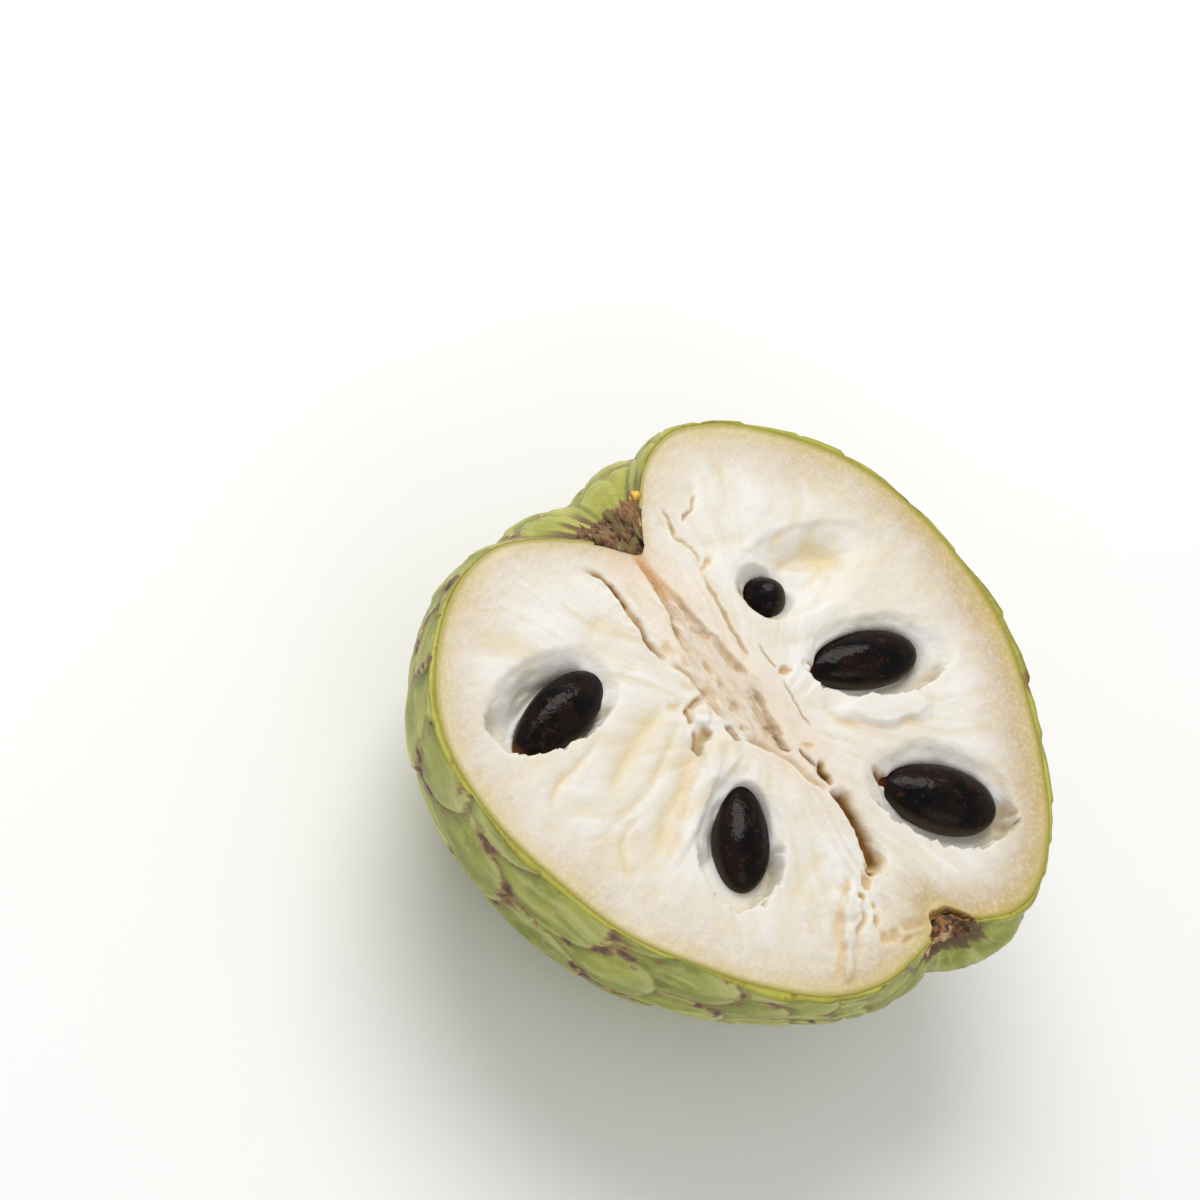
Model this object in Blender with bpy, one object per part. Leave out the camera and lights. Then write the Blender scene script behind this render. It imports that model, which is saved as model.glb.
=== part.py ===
"""One half of a custard apple (cherimoya), cut lengthwise through its core.

The half lies on its rounded back with the cut face up. +X runs along the core from the stem dimple to
the blossom end, +Y across the cut face and +Z up. The origin is on the surface it rests on, under the
middle of its bounding box. Pieces: the scaly green rind, the pale flesh with its seed pockets, core and
cracks, and five loose seeds.

The shape is worked out in a fruit frame in millimetres, whose origin is the floor of the stem dimple,
on the cut plane, and is then moved to the part's own frame in metres.
"""

import math

import bmesh
import bpy
import numpy as np
from mathutils import Euler, Matrix, Vector

MM = 0.001

# --- driving dimensions, in millimetres -----------------------------------------------------------

CENTRE_X = 34.0  # the fruit's middle, along the core from the floor of the stem dimple
REST_DEPTH = 47.4  # from the cut plane down to the small flat spot it rests on
REST_BLEND = 0.5  # how softly the rounded back runs into the flat spot
PART_ORIGIN = (33.32, -1.9)  # middle of the bounding box, in the fruit frame
RIND = 1.7  # thickness of the rind
RIND_GAP = 0.5  # clearance between the rind and the flesh, measured from the fruit's middle
SEED_GAP = 0.3  # clearance round each seed
BOXINESS = 0.05  # how far the cross-section bulges past an ellipse

# Angle from the stem direction in degrees, then the distance from the fruit's middle to its skin there:
# along the +Y edge of the cut face, along its -Y edge, and down the back
PROFILE = (
    (0, 34.0, 34.0, 34.0),
    (8, 40.0, 39.4, 40.0),
    (15, 46.2, 44.8, 47.0),
    (22, 50.1, 50.0, 52.3),
    (30, 51.4, 53.4, 54.3),
    (45, 51.0, 56.3, 53.6),
    (60, 50.5, 56.8, 51.6),
    (75, 49.0, 53.8, 49.6),
    (90, 47.5, 50.3, 48.6),
    (105, 46.7, 48.6, 48.0),
    (120, 45.9, 46.8, 48.0),
    (135, 46.9, 46.9, 49.0),
    (150, 49.0, 47.6, 50.4),
    (160, 49.2, 46.6, 50.6),
    (168, 47.4, 44.8, 48.8),
    (174, 44.8, 43.8, 45.2),
    (180, 43.4, 43.4, 43.4),
)

# Swellings of the skin: angle from the stem, angle round the core (0 straight down, + towards +Y),
# height and spread in degrees
SWELLINGS = (
    (27, -62, 1.6, 13),
    (23, -8, 2.2, 10),
    (24, 50, 1.0, 8),
    (62, -64, -0.7, 20),
    (148, -46, -1.7, 18),
    (168, -4, -3.0, 10),
    (163, 46, 2.7, 12),
)

# Scales of the rind: rounded tips that point to the blossom end, in staggered rows like shingles.
SCALES_AROUND = 15
FIRST_TIP = 15.0  # from the stem along the skin to the first row's tips
ROW_PITCH = 0.62  # distance between rows, as a share of a scale's width
ROW_PITCH_RANGE = (6.5, 13.0)
NOSE = 0.56  # length of a scale's rounded tip, as a share of its width
STEP = 0.085  # height of a scale's raised tip, as a share of its width
SUNK = 0.7  # share of that height by which the scales' feet lie below the smooth skin
PILLOW = 0.035  # how far a scale swells in its middle, as a share of its width
LIP = (0.3, 0.7)  # a scale's edge is rounded off by this share, over about this distance
SIDE_DROP = 0.25  # share by which a scale is lower along its sides
JITTER = 0.09  # how far scales stray from an even layout, as a share of their width
SCALE_WIDTHS = (0.98, 1.14)
BARE_STEM = (6.0, 16.0)  # the scales fade out between these distances from the stem
BARE_BLOSSOM = (3.0, 9.0)
SCALE_SEED = 7

# Cells across each disc-shaped sheet, and the share of the triangles kept once the flat stretches
# between the scales and hollows are merged
OUTER_CELLS = 120
INNER_CELLS = 32
FACE_CELLS = 72
RIND_KEPT = 0.31
FLESH_KEPT = 0.36

# --- the cut face, in the fruit frame -------------------------------------------------------------

# x, y, depth of the centre below the cut plane, length, width, thickness, yaw and pitch of each seed.
# The yaw is the direction from a seed's narrow end to its blunt one.
SEEDS = (
    (13.7, -28.8, 3.6, 20.0, 9.2, 7.8, 96, 3),
    (17.6, 13.2, 8.6, 17.0, 8.8, 8.0, 78, 66),
    (35.0, 21.5, 3.7, 20.0, 9.6, 7.8, 65, 4),
    (59.5, 15.6, 3.6, 20.2, 11.4, 8.6, 40, 3),
    (45.5, -17.3, 3.6, 18.2, 9.2, 7.8, -42, -3),
)

# x, y, half length, half width, yaw and depth of each seed's pocket, an oval hollow in the flesh
POCKETS = (
    (12.6, -29.8, 13.0, 8.2, 86, 4.4),
    (18.4, 23.0, 12.6, 7.4, 80, 3.8),
    (36.0, 22.0, 13.2, 8.0, 66, 4.4),
    (60.2, 15.0, 13.0, 9.2, 41, 4.4),
    (46.4, -19.4, 12.2, 7.8, -42, 4.4),
)
POCKET_FLOOR = 0.55  # share of a hollow's reach, from its middle, that is level floor

# Grooves in the flesh: points along each, half width and depth.
GROOVES = (
    (((-1.0, -9.0), (8.0, -10.2), (15.8, -10.5), (29.5, -8.8)), 1.3, 1.5),  # left side of the core
    (((6.5, 8.0), (12.7, 6.4), (21.8, 4.6), (32.6, 2.6)), 1.3, 1.4),  # right side of the core
    (((0.5, -0.2), (9.3, -2.1), (18.6, -5.0), (30.0, -3.6), (41.0, -1.0)), 1.9, 1.6),  # middle of the core
    (((42.0, -0.8), (46.5, -0.2), (52.0, -1.8), (57.0, -3.2), (62.5, -5.4)), 1.5, 4.6),  # open split
    (((63.0, -8.0), (66.0, -14.5), (71.0, -19.5), (73.5, -23.0)), 2.0, 1.6),  # crumbled end of the split
    (((30.5, -11.0), (29.5, -22.0), (27.6, -33.0), (24.2, -40.5)), 1.8, 1.3),  # folds between segments
    (((32.5, -12.5), (36.5, -22.0), (40.0, -33.5)), 2.0, 1.2),
)
CORE_SWELL = 0.5  # the core stands this far proud of the cut plane
CORE_LINE = -1.5  # y of the middle of the core
CORE_SPREAD = 9.0
CORE_START = (4, 14)  # the core's swell comes in between these distances from the stem
CORE_END = (66, 44)  # and dies away towards the blossom end
EDGE_BAND = 3.0  # the cut face runs level with the rind over this distance from its edge
EDGE_TAPER = 0.024  # radians by which the flesh's side stops short of its face, for a square edge

SEED_TAPER = 0.16  # how much wider a seed's blunt end is, as a share of its width
SEED_TUCK = 0.10  # how much narrower both ends are than an egg's
SEED_SIDES, SEED_RINGS = 16, 10


# --- shape functions ------------------------------------------------------------------------------


def smooth_through(x, knots, values):
    """A smooth curve through the values at the knots, level at both ends, read at x."""
    knots, values = np.asarray(knots, float), np.asarray(values, float)
    slopes = np.gradient(values, knots)
    slopes[0] = slopes[-1] = 0.0
    i = np.clip(np.searchsorted(knots, x) - 1, 0, len(knots) - 2)
    span = knots[i + 1] - knots[i]
    t = (x - knots[i]) / span
    return (
        (2 * t**3 - 3 * t**2 + 1) * values[i]
        + (t**3 - 2 * t**2 + t) * span * slopes[i]
        + (3 * t**2 - 2 * t**3) * values[i + 1]
        + (t**3 - t**2) * span * slopes[i + 1]
    )


def smoothstep(low, high, x):
    t = np.clip((x - low) / (high - low), 0.0, 1.0)
    return t * t * (3 - 2 * t)


def angles_of(directions):
    """Angle from the stem direction, and angle round the core: 0 straight down, + towards +Y."""
    from_stem = np.arccos(np.clip(-directions[:, 0], -1.0, 1.0))
    round_core = np.arctan2(directions[:, 1], -directions[:, 2])
    return from_stem, round_core


def angle_between(from_stem, round_core, stem_angle, core_angle):
    """Angle, seen from the fruit's middle, between directions and one given direction."""
    cosine = np.cos(from_stem) * math.cos(stem_angle)
    cosine = cosine + np.sin(from_stem) * math.sin(stem_angle) * np.cos(round_core - core_angle)
    return np.arccos(np.clip(cosine, -1.0, 1.0))


def body_radius(from_stem, round_core):
    """Distance from the fruit's middle to its smooth skin."""
    degrees = np.degrees(from_stem)
    knots, *edges = zip(*PROFILE)
    right, left, back = (smooth_through(degrees, knots, edge) for edge in edges)
    edge = np.where(round_core > 0, right, left)
    share = np.sin(round_core) ** 2
    ellipse = 1 / np.sqrt((1 - share) / back**2 + share / edge**2)
    radius = ellipse * (1 + BOXINESS * np.sin(2 * round_core) ** 2 * np.sin(from_stem) ** 2)
    for stem_angle, core_angle, height, spread in SWELLINGS:
        away = angle_between(from_stem, round_core, math.radians(stem_angle), math.radians(core_angle))
        radius = radius + height * np.exp(-((away / math.radians(spread)) ** 2))
    return radius


def skin_length():
    """Table of distance along the skin from the stem, against the angle from the stem."""
    angle = np.radians(np.arange(0, 180.5, 0.5))
    knots, _, _, back = zip(*PROFILE)
    radius = smooth_through(np.degrees(angle), knots, back)
    steps = np.hypot(np.diff(radius), radius[1:] * np.diff(angle))
    return angle, np.concatenate([[0.0], np.cumsum(steps)]), radius * np.sin(angle)


def scale_layout():
    """Every scale's tip: distance along the skin, angle round the core, and width."""
    rng = np.random.default_rng(SCALE_SEED)
    _, along, from_core = skin_length()
    tips, tip, row = [], FIRST_TIP, 0
    while tip < along[-1] - BARE_BLOSSOM[0]:
        width = 2 * math.pi * np.interp(tip, along, from_core) / SCALES_AROUND
        for i in range(-SCALES_AROUND // 2, SCALES_AROUND // 2 + 2):
            turn = (i + 0.5 * (row % 2) + rng.uniform(-JITTER, JITTER)) * 2 * math.pi / SCALES_AROUND
            along_skin = tip + rng.uniform(-JITTER, JITTER) * width
            tips.append((along_skin, turn, width * rng.uniform(*SCALE_WIDTHS)))
        tip += float(np.clip(ROW_PITCH * width, *ROW_PITCH_RANGE))
        row += 1
    return sorted(tips)


def scale_relief(from_stem, round_core):
    """Height of the scales above the smooth skin. The scale nearest the stem lies over the next ones."""
    angle, along, from_core = skin_length()
    s = np.interp(from_stem, angle, along)
    rho = np.interp(from_stem, angle, from_core)
    height = np.zeros_like(s)
    covered = np.zeros(len(s), bool)
    for tip, turn, width in scale_layout():
        nose = NOSE * width
        behind = tip - s
        across = np.abs(round_core - turn) * rho / (width / 2)
        shape = np.where(behind < nose, np.hypot(across, (behind - nose) / nose), across)
        inside = (1 - shape) * width / 2
        mine = (inside > 0) & ~covered
        length = nose + ROW_PITCH * width
        rise = np.clip(1 - behind / length, 0, 1) * (1 - SIDE_DROP * np.minimum(across, 1) ** 2)
        lip = 1 - LIP[0] * np.exp(-np.maximum(inside, 0) / LIP[1])
        swell = PILLOW * width * np.clip(1 - shape**2, 0, 1)
        height = np.where(mine, STEP * width * (rise * lip - SUNK) + swell, height)
        covered |= mine
    return height * smoothstep(*BARE_STEM, s) * smoothstep(*BARE_BLOSSOM, along[-1] - s)


def skin_point(directions, inset=0.0, relief=False):
    """Points on the skin, or on a surface inset below it, in the fruit frame."""
    from_stem, round_core = angles_of(directions)
    radius = body_radius(from_stem, round_core) - inset
    if relief:
        radius = radius + scale_relief(from_stem, round_core)
    points = directions * radius[:, None]
    floor = inset - REST_DEPTH
    points[:, 2] = rest_on(points[:, 2], floor)
    points[:, 0] += CENTRE_X
    return points


def rest_on(z, floor):
    """z, but flat where it would reach below the floor, with a short soft run into the flat."""
    lift = np.clip((floor + REST_BLEND - z) / (2 * REST_BLEND), 0.0, 1.0)
    soft = z + REST_BLEND * lift**2
    return np.where(z < floor - REST_BLEND, floor, np.maximum(soft, floor))


def groove_depth(x, y, path, half_width, depth):
    """Depth at (x, y) of a rounded groove that follows the path."""
    away = np.full_like(x, 1e9)
    for (ax, ay), (bx, by) in zip(path, path[1:]):
        dx, dy = bx - ax, by - ay
        t = np.clip(((x - ax) * dx + (y - ay) * dy) / (dx * dx + dy * dy), 0, 1)
        away = np.minimum(away, np.hypot(x - ax - t * dx, y - ay - t * dy))
    return depth * np.exp(-((away / half_width) ** 2))


def pocket_depth(x, y, pocket):
    """Depth at (x, y) of an oval hollow with a rounded rim and a level floor."""
    px, py, half_length, half_width, yaw, depth = pocket
    c, s = math.cos(math.radians(yaw)), math.sin(math.radians(yaw))
    along = ((x - px) * c + (y - py) * s) / half_length
    across = (-(x - px) * s + (y - py) * c) / half_width
    return depth * smoothstep(1.0, POCKET_FLOOR, np.hypot(along, across))


def face_height(x, y, from_edge):
    """Height of the cut face over the cut plane, in the fruit frame."""
    depth = np.zeros_like(x)
    for pocket in POCKETS:
        depth = np.maximum(depth, pocket_depth(x, y, pocket))
    for path, half_width, deep in GROOVES:
        depth = depth + groove_depth(x, y, path, half_width, deep)
    along_core = smoothstep(*CORE_START, x) * smoothstep(*CORE_END, x)
    swell = CORE_SWELL * np.exp(-(((y - CORE_LINE) / CORE_SPREAD) ** 2)) * along_core
    return (swell - depth) * smoothstep(0.0, EDGE_BAND, from_edge)


# --- mesh helpers ---------------------------------------------------------------------------------


def disc_of(square):
    """Maps points of the square from -1 to 1 to the unit disc, evenly: distance and bearing."""
    x, y = square[:, 0], square[:, 1]
    wide = np.abs(x) > np.abs(y)
    reach = np.maximum(np.abs(x), np.abs(y))
    safe_x, safe_y = np.where(x == 0, 1e-9, x), np.where(y == 0, 1e-9, y)
    bearing = np.where(wide, math.pi / 4 * y / safe_x, math.pi / 2 - math.pi / 4 * x / safe_y)
    bearing = np.where(np.where(wide, x, y) < 0, bearing + math.pi, bearing)
    return reach, bearing


def add_sheet(bm, cells, place, facing_up=True):
    """Adds a disc of cells x cells to the bmesh, with place(distance, bearing) giving its points."""
    made = bmesh.ops.create_grid(bm, x_segments=cells, y_segments=cells, size=1.0)["verts"]
    reach, bearing = disc_of(np.array([v.co for v in made]))
    for vertex, point in zip(made, place(reach, bearing)):
        vertex.co = point
    if not facing_up:
        faces = {face for vertex in made for face in vertex.link_faces}
        bmesh.ops.reverse_faces(bm, faces=list(faces))


def bridge_rims(bm):
    """Joins the two open rims of the bmesh's sheets."""
    rim = [edge for edge in bm.edges if edge.is_boundary]
    bmesh.ops.bridge_loops(bm, edges=rim)
    bmesh.ops.triangulate(bm, faces=bm.faces[:])
    bmesh.ops.recalc_face_normals(bm, faces=bm.faces[:])


def to_part_frame(points):
    """Fruit frame in millimetres to the part's frame in metres."""
    return (points + np.array([-PART_ORIGIN[0], -PART_ORIGIN[1], REST_DEPTH])) * MM


def direction(down, bearing):
    """Unit vectors from the fruit's middle: down is the angle from straight down."""
    return np.stack(
        [np.sin(down) * np.cos(bearing), np.sin(down) * np.sin(bearing), -np.cos(down)], axis=1
    )


def back_sheet(inset, relief, taper=0.0):
    """Place function of the rounded back, which stops an angle of `taper` short of the cut plane."""

    def place(reach, bearing):
        down = reach * (math.pi / 2 - taper)
        return to_part_frame(skin_point(direction(down, bearing), inset, relief))

    return place


def face_sheet(inset):
    """Place function of the cut face, out to a rim inset below the skin."""

    def place(reach, bearing):
        level = np.full_like(bearing, math.pi / 2)
        rim = skin_point(direction(level, bearing), inset)
        x = CENTRE_X + (rim[:, 0] - CENTRE_X) * reach
        y = rim[:, 1] * reach
        from_edge = (1 - reach) * np.hypot(rim[:, 0] - CENTRE_X, rim[:, 1])
        return to_part_frame(np.stack([x, y, face_height(x, y, from_edge)], axis=1))

    return place


# --- materials and objects ------------------------------------------------------------------------


def material(name, colour, roughness):
    made = bpy.data.materials.new(name)
    made.use_nodes = True
    shader = made.node_tree.nodes["Principled BSDF"]
    shader.inputs["Base Color"].default_value = (*colour, 1.0)
    shader.inputs["Roughness"].default_value = roughness
    shader.inputs["Metallic"].default_value = 0.0
    made.diffuse_color = (*colour, 1.0)
    return made


def new_object(name, bm, collection, finish):
    mesh = bpy.data.meshes.new(name)
    bm.to_mesh(mesh)
    bm.free()
    mesh.materials.append(finish)
    mesh.shade_smooth()
    mesh.set_sharp_from_angle(angle=math.radians(40))
    made = bpy.data.objects.new(name, mesh)
    collection.objects.link(made)
    return made


def new_collection(name):
    made = bpy.data.collections.new(name)
    bpy.context.scene.collection.children.link(made)
    return made


def merge_flat_stretches(target, kept):
    merge = target.modifiers.new("merge_flat_stretches", "DECIMATE")
    merge.decimate_type = "COLLAPSE"
    merge.ratio = kept


def make_rind(collection):
    """The scaly skin: a bowl with relief outside, smooth inside, and a flat rim on the cut plane."""
    bm = bmesh.new()
    add_sheet(bm, OUTER_CELLS, back_sheet(0.0, True), facing_up=False)
    add_sheet(bm, INNER_CELLS, back_sheet(RIND, False))
    bridge_rims(bm)
    rind = new_object("rind", bm, collection, material("rind_green", (0.40, 0.42, 0.13), 0.55))
    merge_flat_stretches(rind, RIND_KEPT)
    return rind


def make_flesh(collection, seats):
    """The pale flesh that fills the rind, with its cut face up and a seat cut for each seed."""
    bm = bmesh.new()
    add_sheet(bm, FACE_CELLS, face_sheet(RIND + RIND_GAP))
    add_sheet(bm, INNER_CELLS, back_sheet(RIND + RIND_GAP, False, EDGE_TAPER), facing_up=False)
    bridge_rims(bm)
    flesh = new_object("flesh", bm, collection, material("flesh_cream", (0.86, 0.78, 0.62), 0.45))
    merge_flat_stretches(flesh, FLESH_KEPT)
    cut = flesh.modifiers.new("seed_seats", "BOOLEAN")
    cut.operation = "DIFFERENCE"
    cut.solver = "EXACT"
    cut.operand_type = "COLLECTION"
    cut.collection = seats
    return flesh


def seed_mesh(length, width, thickness, grow):
    """A bean-like seed along X: blunt towards +X, narrowed towards -X."""
    bm = bmesh.new()
    bmesh.ops.create_uvsphere(bm, u_segments=SEED_SIDES, v_segments=SEED_RINGS, radius=1.0)
    bmesh.ops.rotate(bm, verts=bm.verts, matrix=Matrix.Rotation(math.radians(90), 3, "Y"))
    for vertex in bm.verts:
        x, y, z = vertex.co
        slim = 1.0 + SEED_TAPER * x - SEED_TUCK * x * x
        vertex.co = Vector(
            (
                x * (length / 2 + grow) * MM,
                y * slim * (width / 2 + grow) * MM,
                z * slim * (thickness / 2 + grow) * MM,
            )
        )
    bmesh.ops.recalc_face_normals(bm, faces=bm.faces[:])
    return bm


def make_seed(name, seed, grow, collection, finish):
    """A seed, or with grow above 0 the cutter for its seat."""
    x, y, depth, length, width, thickness, yaw, pitch = seed
    made = new_object(name, seed_mesh(length, width, thickness, grow), collection, finish)
    made.location = to_part_frame(np.array([x, y, -depth]))
    made.rotation_euler = Euler((0.0, math.radians(-pitch), math.radians(yaw)), "XYZ")
    return made


def clear_scene():
    for old in list(bpy.data.objects):
        bpy.data.objects.remove(old, do_unlink=True)


def main():
    clear_scene()
    fruit = new_collection("custard_apple_half")
    seats = new_collection("seed_seats")
    dark = material("seed_black", (0.018, 0.010, 0.008), 0.18)
    for number, seed in enumerate(SEEDS, start=1):
        make_seed(f"seed_{number}", seed, 0.0, fruit, dark)
        cutter = make_seed(f"seat_{number}", seed, SEED_GAP, seats, dark)
        cutter.hide_render = True
        cutter.display_type = "WIRE"
    make_rind(fruit)
    make_flesh(fruit, seats)


main()
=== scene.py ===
"""The look of the halved custard apple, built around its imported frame."""

import math

import bmesh
import bpy
import numpy as np
from mathutils import Euler, Matrix, Vector


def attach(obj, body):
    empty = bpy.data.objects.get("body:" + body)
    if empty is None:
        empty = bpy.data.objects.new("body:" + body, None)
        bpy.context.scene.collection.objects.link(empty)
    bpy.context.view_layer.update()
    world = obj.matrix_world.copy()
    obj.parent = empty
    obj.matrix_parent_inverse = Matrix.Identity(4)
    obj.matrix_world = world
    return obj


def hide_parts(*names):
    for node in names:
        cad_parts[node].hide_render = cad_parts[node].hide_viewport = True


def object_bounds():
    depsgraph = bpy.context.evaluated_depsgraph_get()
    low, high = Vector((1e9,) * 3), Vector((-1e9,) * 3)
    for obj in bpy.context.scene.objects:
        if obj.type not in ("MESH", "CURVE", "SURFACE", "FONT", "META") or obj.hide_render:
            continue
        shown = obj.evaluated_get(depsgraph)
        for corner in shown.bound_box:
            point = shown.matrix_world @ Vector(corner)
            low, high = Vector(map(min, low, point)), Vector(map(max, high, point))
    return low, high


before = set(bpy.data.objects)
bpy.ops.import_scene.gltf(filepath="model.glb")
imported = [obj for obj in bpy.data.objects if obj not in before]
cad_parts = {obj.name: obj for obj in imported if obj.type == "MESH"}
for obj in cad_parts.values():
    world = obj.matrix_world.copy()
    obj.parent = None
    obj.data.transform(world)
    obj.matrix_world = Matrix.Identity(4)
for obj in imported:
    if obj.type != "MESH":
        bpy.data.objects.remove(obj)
cad_box = [list(corner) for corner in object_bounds()]

# Millimetres in the fruit's own frame, as in part.py: X along the core from the stem, Y across the
# cut face, Z out of it, with the origin in the stem's notch on the cut plane.
MM = 0.001
REST_DEPTH = 47.4  # from the cut plane down to the flat spot
REST_BLEND = 0.5  # how softly the skin turns into the flat spot
PART_ORIGIN = (33.32, -1.9)  # X and Y of the frame's origin
CENTRE_X = 34.0  # X of the point on the cut plane that all directions start from
BOXINESS = 0.05  # how much fuller than an ellipse a cross-section is
# Angle from the stem, and how far the skin is there: right and left edge of the cut face, back
PROFILE = (
    (0, 34.0, 34.0, 34.0),
    (8, 40.0, 39.4, 40.0),
    (15, 46.2, 44.8, 47.0),
    (22, 50.1, 50.0, 52.3),
    (30, 51.4, 53.4, 54.3),
    (45, 51.0, 56.3, 53.6),
    (60, 50.5, 56.8, 51.6),
    (75, 49.0, 53.8, 49.6),
    (90, 47.5, 50.3, 48.6),
    (105, 46.7, 48.6, 48.0),
    (120, 45.9, 46.8, 48.0),
    (135, 46.9, 46.9, 49.0),
    (150, 49.0, 47.6, 50.4),
    (160, 49.2, 46.6, 50.6),
    (168, 47.4, 44.8, 48.8),
    (174, 44.8, 43.8, 45.2),
    (180, 43.4, 43.4, 43.4),
)
# Single swellings: angle from the stem, angle round the core, height, spread
SWELLINGS = (
    (27, -62, 1.6, 13),
    (23, -8, 2.2, 10),
    (24, 50, 1.0, 8),
    (62, -64, -0.7, 20),
    (148, -46, -1.7, 18),
    (168, -4, -3.0, 10),
    (163, 46, 2.7, 12),
)
# Scales: how many a row and where rows start, then each scale's outline and relief as shares of
# its width, and how far round the stem and the blossom end the skin is bare
SCALES_AROUND = 15
FIRST_TIP = 15.0
ROW_PITCH = 0.62
ROW_PITCH_RANGE = (6.5, 13.0)
NOSE = 0.56
TIP_HEIGHT = 0.085
SUNK = 0.7
PILLOW = 0.035
SIDE_DROP = 0.25
JITTER = 0.09
SCALE_WIDTHS = (0.98, 1.14)
BARE_STEM = (6.0, 16.0)
BARE_BLOSSOM = (3.0, 9.0)
SCALE_SEED = 7
TONE_SEED = 3
FAR = 9.0  # distance from a scale's edge and tip, where there is no scale
LOBE_EDGES = (-91, -58, -21, 22, 64, 91)  # angles round the core between the lobes at the stem
LOBE_RADIUS = 43.0  # of the skin there
DIP_LIMIT = 0.45  # the skin never dips further, so that it stays over the flesh

RIND_THICK = 0.5
FLESH_INSET = 0.55
RIND_CELLS = (304, 76)  # grid cells along a side of the outer and of the inner sheet
FLESH_CELLS = (304, 38)  # the same for the cut face and the underside
FLESH_SHORT = 0.012  # how much earlier the flesh's underside ends than the skin, in radians
CORE_CROWD = 0.36  # how much closer the rows of the face are at the core

# Grown-on pieces: the drop of sap, and the grids of the two scars
BEAD_MIDDLE = (-6.8, 6.6, -0.5)
BEAD_HALF_SIZES = (0.95, 1.1, 0.85)
STEM_SCAR_CELLS = (110, 64)
BLOSSOM_SCAR_CELLS = (110, 80)

# Seeds: x, y, depth, length, width, thickness, yaw and pitch, as in part.py
SEEDS = (
    (13.7, -28.8, 3.6, 20.0, 9.2, 7.8, 96, 3),
    (17.6, 13.2, 8.1, 17.0, 9.0, 8.2, 78, 66),
    (35.0, 21.5, 3.7, 20.0, 9.6, 7.8, 65, 4),
    (59.5, 15.6, 3.6, 20.2, 11.4, 8.6, 40, 3),
    (45.5, -17.3, 3.6, 18.2, 9.2, 7.8, -42, -3),
)
SEED_TAPER = 0.16  # how much one end is thicker than the other
SEED_TUCK = 0.10  # how much both ends draw in

# Hollows round the seeds: x, y, half length, half width, yaw, depth
POCKETS = (
    (11.8, -30.2, 12.6, 7.6, 86, 4.6),
    (17.9, 22.3, 14.2, 7.4, 80, 2.8),
    (36.4, 22.4, 13.4, 7.4, 66, 4.6),
    (60.2, 15.0, 13.2, 9.0, 41, 4.8),
    (46.4, -20.0, 11.6, 7.6, -42, 3.9),
)
HOLLOW_WALLS = (0.54, 0.75, 0.54, 0.56, 0.66)  # width of each one's wall, as a share of its reach
END_ON = 1  # the hollow whose seed stands on end
NEAR = (0.844, -0.536)  # the side on which each hollow has an upright, torn wall

# The blossom end, in degrees: the pit's bearing, angle below the cut plane, half width and half
# height; then the rim's bearing, half width and, in millimetres, how low it is there
PIT = (0.2, 4.6, 6.4, 6.2)
TORN_RIM = (0.2, 6.2, 1.3)
RIM_REACH = 46.0  # distance of that rim from the centre


# --- shape functions ---


def smooth_through(x, knots, values):
    """A smooth curve through the knots, level at both ends."""
    knots, values = np.asarray(knots, float), np.asarray(values, float)
    slopes = np.gradient(values, knots)
    slopes[0] = slopes[-1] = 0.0
    i = np.clip(np.searchsorted(knots, x) - 1, 0, len(knots) - 2)
    span = knots[i + 1] - knots[i]
    t = (x - knots[i]) / span
    return (
        (2 * t**3 - 3 * t**2 + 1) * values[i]
        + (t**3 - 2 * t**2 + t) * span * slopes[i]
        + (3 * t**2 - 2 * t**3) * values[i + 1]
        + (t**3 - t**2) * span * slopes[i + 1]
    )


def step(low, high, x):
    """0 below low and 1 above high, smooth between; the other way round if low is above high."""
    t = np.clip((x - low) / (high - low), 0.0, 1.0)
    return t * t * (3 - 2 * t)


def hump(x, middle, width, power=2):
    """1 at the middle, falling off over the width."""
    return np.exp(-(((x - middle) / width) ** power))


LATTICE_SIZE = 64
LATTICE = np.random.default_rng(11).random((LATTICE_SIZE,) * 3)


def noise(x, y, size, seed=0, z=0.0):
    """Smooth noise from -1 to 1 with features of about the given size."""
    p = np.stack([x, y, np.broadcast_to(z, np.shape(x))], axis=-1) / size + seed * 7.31 + 640.0
    i = np.floor(p).astype(int)
    f = p - i
    f = f * f * f * (f * (f * 6 - 15) + 10)
    total = np.zeros(len(p))
    for corner in np.ndindex(2, 2, 2):
        weight = np.prod(np.where(corner, f, 1 - f), axis=1)
        total += weight * LATTICE[tuple((i + corner).T % LATTICE_SIZE)]
    return total * 2 - 1


def fbm(x, y, size, octaves=4, seed=0, gain=0.5, z=0.0):
    """Sum of octaves of noise, about -1 to 1."""
    total, strength, scale = np.zeros(np.shape(x)), 1.0, 1.0
    for octave in range(octaves):
        total = total + strength * noise(x, y, size * scale, seed + octave * 3, z)
        strength *= gain
        scale *= 0.5
    return total


def angles_of(directions):
    """Angle from the stem, and angle round the core from straight down."""
    from_stem = np.arccos(np.clip(-directions[:, 0], -1.0, 1.0))
    round_core = np.arctan2(directions[:, 1], -directions[:, 2])
    return from_stem, round_core


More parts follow.
